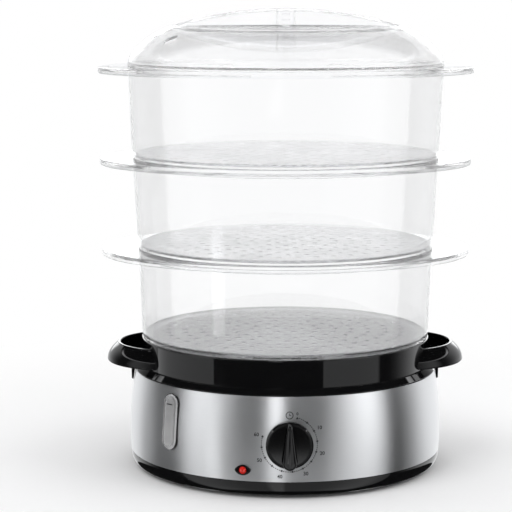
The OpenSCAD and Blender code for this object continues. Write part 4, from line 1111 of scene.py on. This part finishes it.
    def cutters(self) -> list[Piece]:
        """Forms that open the steel band and the ring's wall for the controls and the gauge."""
        lamp = rod("lamp_cut", self.lamp_neck_r + 0.2, (0, 6, 0), FRONT, 9, 40)
        place(lamp, self.on_band(self.lamp_x, self.lamp_z))
        front_y = -(self.base.belly_r + 1)
        holes = [rod("shaft_cut", r, (x, front_y, self.knob_z), BACK, 12, 40)
                 for x, r in ((0, self.shaft_hole_r), (-self.screw_x, self.screw_hole_r),
                              (self.screw_x, self.screw_hole_r))]
        return [lamp, *holes, self.gauge_neck(0.0, 14.0)]


@dataclass
class CordOutlet:
    """Bush in the back of the steel band, where a mains cord leaves."""

    band_y: float = 129.5
    z: float = 24.0
    bore_r: float = 3.6
    neck_r: float = 6.0
    length: float = 23.0
    inside: float = 11.0
    ribs: int = 4
    rib_pitch: float = 2.1

    def build(self) -> Piece:
        """Turns the ribbed bush.

        Returns:
            A cutter for its hole in the band.
        """
        start, end, neck, bore = -self.inside, self.length - self.inside, self.neck_r, self.bore_r
        outline = [(bore, start), (neck + 1.5, start), (neck + 1.5, start + 2.5), (neck, start + 2.5),
                   (neck, 0.1), (neck + 2, 0.1), (neck + 2, 2.4), (neck + 1.4, 3.0)]
        for i in range(self.ribs):
            z = 3.0 + i * self.rib_pitch
            r = neck - 0.8 - 0.15 * i
            outline += [(r - 0.9, z), (r - 0.9, z + 0.7), (r, z + 0.8), (r, z + self.rib_pitch - 0.2)]
        outline += [(neck - 1.6, end - 0.2), (bore + 0.4, end), (bore, end - 0.4)]
        piece = turned("outlet_bush", outline, 64)
        place(piece, swing(-90, "X"))
        place(piece, shift(y=self.band_y, z=self.z))
        finish_piece(piece, "base", Finish.BLACK_SATIN, ["cord_gland"], 30.0)
        return rod("outlet_cut", neck + 0.1, (0, 121, self.z), BACK, 12, 48)


# ---------------------------------------------------------------- bowls and lid


@dataclass
class Bowl:
    """One clear bowl: wall, nest ring below, and an oval rim with an ear at each side."""

    number: int
    body: str
    seat: float
    low_r: float
    top_r: float
    rim_a: float
    rim_b: float
    nest_r: float
    nest_drop: float
    pitch: float = 74.4
    wall: float = 2.0
    rim_t: float = 2.6
    rim_lip: float = 2.4
    ledge_w: float = 3.5
    shoulder: float = 1.8
    clear: float = 0.06

    def rings(self) -> list[Point3]:
        """Rings round the wall's section, from the rim's inner edge outwards and down.

        Returns:
            (half length, half width, height) of each ring.
        """
        seat, wall, low_r, top_r = self.seat, self.wall, self.low_r, self.top_r
        a, b, hole, top = self.rim_a, self.rim_b, self.top_r - wall, seat + self.pitch
        under = top - self.rim_t
        lip = under - self.rim_lip

        def rim(inset: float, z: float) -> Point3:
            """Ring at a distance inside the rim's outline."""
            return a - inset, b - inset, z

        path = [(hole + 0.15, hole + 0.15, top - 0.35), (hole + 0.5, hole + 0.5, top)]
        path += [(hole + (a - hole) * share, hole + (b - hole) * share, top) for share in (0.35, 0.75)]
        path += [rim(0.7, top), rim(0.2, top - 0.25), rim(0, top - 0.8), rim(0, lip + 0.5), rim(0.3, lip)]
        if b - 2.1 <= top_r + 0.6:
            path += [(a - 1.3, max(b - 1.3, top_r + 0.15), lip),
                     (a - 1.6, max(b - 1.6, top_r + 0.12), lip + 0.4),
                     (a - 1.7, top_r + 0.1, under - 0.3), (a - 2.1, top_r + 0.08, under)]
        else:
            path += [rim(1.3, lip), rim(1.6, lip + 0.4), rim(1.7, under - 0.3), rim(2.1, under),
                     (top_r + 1.4, top_r + 1.4, under), (top_r + 0.5, top_r + 0.5, under - 0.5)]

        def slope(share: float, inset: float, lift: float) -> Point2:
            """Point of the wall's outside or inside at a share of its height."""
            return low_r + (top_r - low_r) * share - inset, seat + (self.pitch - 4) * share + lift

        nest, shelf = self.nest_r - wall, self.nest_r - wall - self.ledge_w
        nest_z, shelf_z, rest_z = seat - self.nest_drop, seat + self.shoulder, seat + self.clear
        turn = [(top_r, under - 1.4), slope(0.66, 0, 2), slope(0.33, 0, 2), (low_r, seat + 1.6),
                (low_r - 0.3, seat + 0.5), (low_r - 1.2, rest_z), (self.nest_r + 0.6, rest_z),
                (self.nest_r, seat - 0.6), (self.nest_r, nest_z + 0.5), (self.nest_r - 0.5, nest_z),
                (nest + 0.5, nest_z), (nest, nest_z + 0.5), (nest, seat), (shelf, seat),
                (shelf, shelf_z - 0.3), (shelf + 0.3, shelf_z), (low_r - wall - 1.4, shelf_z),
                (low_r - wall, shelf_z + 1.6),
                slope(0.33, wall, 3), slope(0.66, wall, 3), (hole, top - 1.2)]
        return path + [(r, r, z) for r, z in turn]

    def build(self) -> None:
        """Makes the bowl and the raised number on its ears."""
        piece = ring_stack(f"bowl_{self.number}", self.rings(), 192)
        z = self.seat + self.pitch + 0.05
        marks = [place(digits(str(self.number), 6.0, 0.25, 0.0, 4), shift(side * (self.rim_a - 8), z=z))
                 for side in (-1, 1)]
        piece = join([piece, *marks])
        finish_piece(piece, self.body, Finish.BOWL_CLEAR, [f"bowl_{self.number}_shell"])


@dataclass
class Lid:
    """Clear lid: domed shoulder, dished top and a grip ridge across the dish."""

    skirt_r: float = 130.0
    z: float = 331.2
    skirt_h: float = 3.0
    rim_h: float = 31.8
    dish_r: float = 97.0
    dish_depth: float = 18.5
    grip_rise: float = 15.4
    grip_w: float = 30.0
    wall: float = 2.0
    drop: float = 5.0
    ring_r: float = 126.5
    rib_w: float = 14.0
    vent_w: float = 5.0
    vent_len: float = 11.0
    vent_r: float = 112.0
    vent_angles: Point2 = (197.0, 215.0)
    vent_slant: float = 28.0

    @property
    def rim_z(self) -> float:
        """Height of the dish's rim."""
        return self.z + self.rim_h

    @property
    def ball_r(self) -> float:
        """Radius of the ball that the dish is part of."""
        return (self.dish_r ** 2 + self.dish_depth ** 2) / (2 * self.dish_depth)

    def shoulder(self, inset: float, steps: int = 16) -> list[Point2]:
        """Points of the domed shoulder from the skirt to the dish's rim."""
        a = Vector((self.skirt_r - inset, self.z + self.skirt_h))
        b = Vector((self.skirt_r - 3.5 - inset, self.z + 17.8 - 0.4 * inset))
        c = Vector((self.dish_r + 1, self.rim_z - inset))
        return [tuple((1 - t) ** 2 * a + 2 * t * (1 - t) * b + t * t * c)
                for t in (k / steps for k in range(steps + 1))]

    def dish_z(self, r: float) -> float:
        """Height of the dish's upper face at a radius."""
        return self.rim_z - self.dish_depth + self.ball_r - math.sqrt(self.ball_r ** 2 - r * r)

    def dish(self, inset: float, steps: int = 16) -> list[Point2]:
        """Points of the dish from its rim to the middle."""
        return [(self.dish_r * (1 - k / steps), self.dish_z(self.dish_r * (1 - k / steps)) - inset)
                for k in range(steps + 1)]

    def ridge(self, inset: float, bottom: float) -> Piece:
        """Body of the grip ridge: a block, cut into slices that are drawn in towards its ends.

        Args:
            inset: How much thinner it is on every side.
            bottom: Height of its flat underside.

        Returns:
            A closed mesh object.
        """
        half_len = self.dish_r - 1.5 - inset
        arch_half = self.dish_r + 1
        arch_r = (arch_half ** 2 + self.grip_rise ** 2) / (2 * self.grip_rise)
        lens_r = ((self.dish_r - 1.5) ** 2 + (self.grip_w / 2) ** 2) / self.grip_w
        slices, edge_r = 14, 3.2
        body = block("ridge", (-half_len, -1, bottom), (half_len, 1, bottom + 1))
        xs = [half_len * k / slices for k in range(-slices, slices + 1)]
        for x in xs[1:-1]:
            edit(body)
            bpy.ops.mesh.bisect(plane_co=(x * MM, 0, 0), plane_no=(1, 0, 0))
        for x in xs:
            half = max(math.sqrt(lens_r ** 2 - x * x) - (lens_r - self.grip_w / 2), edge_r + 0.2) - inset
            top = self.rim_z + self.grip_rise - arch_r + math.sqrt((arch_r - inset) ** 2 - x * x)
            pick(body, lambda v: abs(v.x - x * MM) < 1e-5)
            bpy.ops.transform.resize(value=(1.0, half, 1.0), center_override=(x * MM, 0, bottom * MM))
            pick(body, lambda v: abs(v.x - x * MM) < 1e-5 and v.z > (bottom + 0.5) * MM)
            bpy.ops.transform.translate(value=(0, 0, (top - bottom - 1) * MM))
        return soften(tidy_mesh(body), edge_r - inset, 5, 50)

    def build(self) -> None:
        """Makes the lid in one piece, with the rib inside its ridge."""
        outer, top = self.shoulder(0.0), self.dish(0.0)
        inner_top, inner = list(reversed(self.dish(self.wall))), list(reversed(self.shoulder(self.wall)))
        roll = [(self.dish_r + 0.3, self.rim_z + 0.25), (self.dish_r - 0.6, self.rim_z + 0.1)]
        ring, z, low = self.ring_r, self.z, self.z - self.drop
        outline = [(ring, low), (ring, z), (self.skirt_r - 0.3, z), (self.skirt_r, z + 0.3), *outer, *roll,
                   *top[1:], *inner_top[:-1], *inner[1:], (ring - self.wall, z + 1), (ring - self.wall, low)]
        piece = turned("lid_shell", outline, 192)
        ridge = self.ridge(0.0, self.rim_z - 40)
        dish = [(r, self.dish_z(r) - self.wall / 2) for r in (0, 10, 20, 30, 40, 50, 60, 70, 80, 90, 96)]
        high = self.rim_z + 40
        above = turned("above", [*dish, (140, self.dish_z(96) + 5), (140, high), (0, high)], 128)
        combine(ridge, above, Join.KEEP)
        combine(piece, ridge, Join.ADD)
        combine(piece, self.ridge(self.wall, self.rim_z - 34), Join.CUT)
        for angle in self.vent_angles:
            vent = prism("vent", oval_outline(self.vent_w, self.vent_len), 40)
            spot = shift(*polar(self.vent_r, angle, self.rim_z - 30))
            place(vent, spot @ swing(angle + self.vent_slant, "Z") @ swing(-90, "X"))
            combine(piece, vent, Join.CUT)
        finish_piece(piece, "lid", Finish.LID_CLEAR, ["lid"], 30.0)
        self.rib()

    def rib(self) -> None:
        """Hollow rib across the inside of the ridge, with small steps in its channel."""
        low, high = self.z + 12.2, self.rim_z + self.grip_rise - self.wall + 0.1
        reach = self.grip_w / 2 - self.wall
        half = self.rib_w / 2
        corners = [((x - 0.7, -reach, low), (x + 0.7, reach, high)) for x in (-half, half)]
        corners.append(((-half, -0.7, low), (half, 0.7, high)))
        steps, rise = 5, 4.6
        for z in (high - 3 - k * rise for k in range(steps)):
            corners.append(((-3.2, -reach, z - 0.6), (3.2, -0.7, z + 0.6)))
        plates = [soften(block("plate", *pair), 0.3, 2) for pair in corners]
        piece = join(plates)
        piece.name = "lid_rib"
        finish_piece(piece, "lid", Finish.LID_CLEAR)


# ---------------------------------------------------------------- CAD nodes that stay


NODES_OF = {
    Finish.RUBBER: "rubber_feet gauge_seal",
    Finish.PLATED: "base_screws heater_clamp_ring heater_screws timer_cover timer_screws timer_shaft "
                   "knob_clip",
    Finish.PRESSED: "heater_cup timer_bell", Finish.SHEATH: "heater_element", Finish.SILICONE: "heater_seal",
    Finish.CERAMIC: "dry_boil_thermostat thermal_fuse", Finish.BRASS: "timer_contacts",
    Finish.TIMER_BODY: "timer_case timer_cam terminal_block", Finish.NEON: "neon_lamp",
    Finish.LEAD_BROWN: "lead_live lead_switched", Finish.LEAD_BLUE: "lead_neutral",
    Finish.LEAD_GREEN: "lead_earth", Finish.RING_WHITE: "steam_ring", Finish.TRAY_CLEAR: "drip_tray",
    Finish.FLOOR_CLEAR: "bowl_1_floor bowl_2_floor bowl_3_floor",
}


def dress_nodes() -> None:
    """Gives every CAD node its finish, those that stay and those that a piece stands for."""
    finishes = {name: finish for finish, names in NODES_OF.items() for name in names.split()}
    for name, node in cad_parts.items():
        finish = finishes.get(name, Finish.BLACK_GLOSS)
        PAINT.dress(node, finish)
        if isinstance(finish.value, Clear):
            node.visible_shadow = False
    LOG.info("%d CAD nodes dressed", len(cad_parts))


# ---------------------------------------------------------------- studio


LAMPS = (("key", (-0.9, -1.1, 1.5), 1.2, 9.0), ("side", (1.3, -0.5, 1.2), 1.0, 5.0))
ALL_ROUND = (-181.0, -180.0, 180.0, 181.0)
BELOW = (-63.0, -14.6)
FLOOR_FADE = (0.17, 0.6)


@dataclass(frozen=True)
class Softbox:
    """Bright panel of the studio, seen in gloss alone.

    Its azimuth (where it starts, is full, starts to end and has ended) is in degrees from the
    front, its elevation in degrees from the level.
    """

    level: float
    azimuth: tuple[float, float, float, float] = ALL_ROUND
    elevation: Point2 = (-9.0, 28.0)
    edge: float = 0.3

    def glow(self, n: Nodes, turn: Socket, rise: Socket) -> Socket:
        """Adds the panel's light to a shader tree.

        Args:
            n: The tree of the world.
            turn: Azimuth of the ray in degrees.
            rise: Elevation of the ray in degrees.

        Returns:
            The panel's level in the direction of the ray.
        """
        a, (low, high) = self.azimuth, self.elevation
        fades = ((turn, a[0], a[1], 0.0, 1.0), (turn, a[2], a[3], 1.0, 0.0),
                 (rise, low, low + self.edge, 0.0, 1.0), (rise, high - self.edge, high, 1.0, 0.0))
        light: object = self.level
        for value, start, end, before, after in fades:
            fade = n.remap(value, (start, end), (before, after), interpolation_type="SMOOTHSTEP")
            light = n.math("MULTIPLY", light, fade)
        return light


SOFTBOXES = (
    # what the steel band reflects: all round a little, then panels in front, at the sides and behind
    Softbox(0.06), Softbox(1.4, (-92, -72, -68, -28)), Softbox(2.4, (-16, -10, -5, -2)),
    Softbox(1.8, (22, 64, 65, 86)), Softbox(1.0, (-181, -180, -145, -106), (-20.0, 28.0)),
    Softbox(1.1, (86, 130, 180, 181), (-20.0, 28.0)),
    # what the black collar reflects, a few degrees below the level
    Softbox(0.75, (-124, -123, -60, -59), (-13.9, -9.0)), Softbox(0.7, (28, 29, 76, 80), (-13.9, -9.0)),
    # the lower part of the knob, and the side of its ridge
    Softbox(1.3, (-20, -19, 19, 20), (-14.6, -13.9), 0.05),
    Softbox(9.0, (-62, -58, -52, -48), (-14.4, -12.3)),
    # what the foot of the base ring reflects
    Softbox(0.45, (-84, -83, 83, 84), BELOW), Softbox(0.35, (-92, -72, -68, -28), BELOW),
    Softbox(0.45, (22, 64, 65, 82), BELOW), Softbox(0.6, (-17, -10, -4, 0), BELOW),
    # behind and higher up, for the lines of light on rims and lips
    Softbox(2.4, (-181, -180, -158, -150), (3.0, 17.0), 1.0),
    Softbox(2.4, (150, 158, 180, 181), (3.0, 17.0), 1.0),
    Softbox(4.0, (-140, -120, 120, 140), (28.5, 33.0), 1.0),
)


@dataclass
class Studio:
    """Pale floor, soft lights, what gloss reflects, and the camera."""

    camera_at: Point3 = (-0.0431, -1.5431, 0.3877)
    pitch: float = 7.898
    yaw: float = -0.696
    focal: float = 1870.0
    sensor: float = 36.0
    fill: float = 0.8
    dim: float = 0.02
    floor_size: float = 40.0
    floor_z: float = -0.0004
    lamp_aim: Point3 = (0.0, 0.0, 0.15)

    def camera(self) -> None:
        """Adds the camera at the photograph's place and angle."""
        data = bpy.data.cameras.new("camera")
        data.sensor_width = self.sensor
        data.lens = self.focal / PICTURE_SIDE * self.sensor
        data.clip_end = 50.0
        camera = bpy.data.objects.new("camera", data)
        bpy.context.scene.collection.objects.link(camera)
        camera.location = self.camera_at
        camera.rotation_euler = (math.radians(90 - self.pitch), 0.0, math.radians(self.yaw))
        bpy.context.scene.camera = camera

    def world(self) -> None:
        """White surroundings, with dim walls and bright panels for gloss alone."""
        world = bpy.data.worlds.new("studio")
        bpy.context.scene.world = world
        world.use_nodes = True
        world.cycles.sampling_method = "NONE"
        n = Nodes(world.node_tree)
        way = n.add("ShaderNodeSeparateXYZ", {0: n.add("ShaderNodeTexCoord").outputs["Generated"]})
        turn = n.math("ARCTAN2", way.outputs["X"], n.math("MULTIPLY", way.outputs["Y"], -1.0))
        turn = n.math("MULTIPLY", turn, math.degrees(1.0))
        rise = n.math("MULTIPLY", n.math("ARCSINE", way.outputs["Z"]), math.degrees(1.0))
        level: object = self.dim
        for softbox in SOFTBOXES:
            level = n.math("ADD", level, softbox.glow(n, turn, rise))
        path = n.add("ShaderNodeLightPath")
        glossy, soft, white = (
            n.add("ShaderNodeBackground", {"Color": colour, "Strength": strength}).outputs[0]
            for colour, strength in (((0.98, 0.99, 1.0, 1.0), level), (WHITE, self.fill), (WHITE, 1.0)))
        seen = n.math("MAXIMUM", path.outputs["Is Camera Ray"], path.outputs["Is Transmission Ray"])
        lit = n.blend(path.outputs["Is Glossy Ray"], soft, glossy)
        n.add("ShaderNodeOutputWorld", {"Surface": n.blend(seen, lit, white)})

    def floor(self) -> None:
        """Pale floor that keeps the object's shadow and turns white away from it."""
        deselect_all()
        bpy.ops.mesh.primitive_plane_add(size=self.floor_size, location=(0, 0, self.floor_z))
        floor = added("studio_floor")
        floor.visible_glossy = False
        floor.data.materials.append(new_material("studio_floor", self.floor_surface))

    @staticmethod
    def floor_surface(n: Nodes, where: Socket) -> Socket:
        """Wires a pale matt that turns to plain white away from the object."""
        reach = n.add("ShaderNodeVectorMath", {0: where}, operation="LENGTH").outputs["Value"]
        far = n.remap(reach, FLOOR_FADE, (0.0, 1.0), interpolation_type="SMOOTHSTEP")
        tone = n.mix(n.noise(where, 300.0, 2.0), (0.93, 0.93, 0.935), (0.96, 0.96, 0.965))
        matt = n.add("ShaderNodeBsdfDiffuse", {"Color": tone}).outputs[0]
        white = n.add("ShaderNodeEmission", {"Color": WHITE, "Strength": 1.0}).outputs[0]
        return n.blend(far, matt, white)

    def lights(self) -> None:
        """Two large soft lamps, over the front left and the right."""
        for name, at, size, power in LAMPS:
            data = bpy.data.lights.new(name, "AREA")
            data.shape, data.size, data.energy = "SQUARE", size, power
            lamp = bpy.data.objects.new(name, data)
            bpy.context.scene.collection.objects.link(lamp)
            lamp.location = at
            aim = Vector(self.lamp_aim) - Vector(at)
            lamp.rotation_euler = aim.to_track_quat("-Z", "Y").to_euler()
            lamp.visible_glossy = False
            lamp.visible_camera = False

    def build(self) -> None:
        """Sets up the whole studio."""
        bpy.context.scene.view_settings.view_transform = "Standard"
        self.camera()
        self.world()
        self.floor()
        self.lights()


def main() -> None:
    """Builds every sub-assembly in order."""
    logging.basicConfig(level=logging.INFO, format="%(name)s: %(message)s")
    Studio().build()
    dress_nodes()
    base = Base()
    controls = Controls(base)
    outlet_cut = CordOutlet().build()
    openings = join([*controls.cutters(), outlet_cut])
    base.pan()
    base.ring(copy_of(openings, "ring_openings"))
    base.band(openings)
    base.housing(controls.gauge_neck(0.6, 26.0))
    Handles().build()
    controls.knob()
    controls.lamp()
    controls.gauge()
    controls.print_dial()
    for bowl in (Bowl(1, "lower_bowl", 108.0, 119.0, 121.5, 152.0, 126.2, 115.5, 4.0),
                 Bowl(2, "middle_bowl", 182.4, 122.3, 126.0, 153.0, 128.7, 117.665, 7.0),
                 Bowl(3, "upper_bowl", 256.8, 126.4, 129.5, 154.0, 130.6, 122.052, 7.0)):
        bowl.build()
    Lid().build()
    deselect_all()


if __name__ == "__main__":
    main()
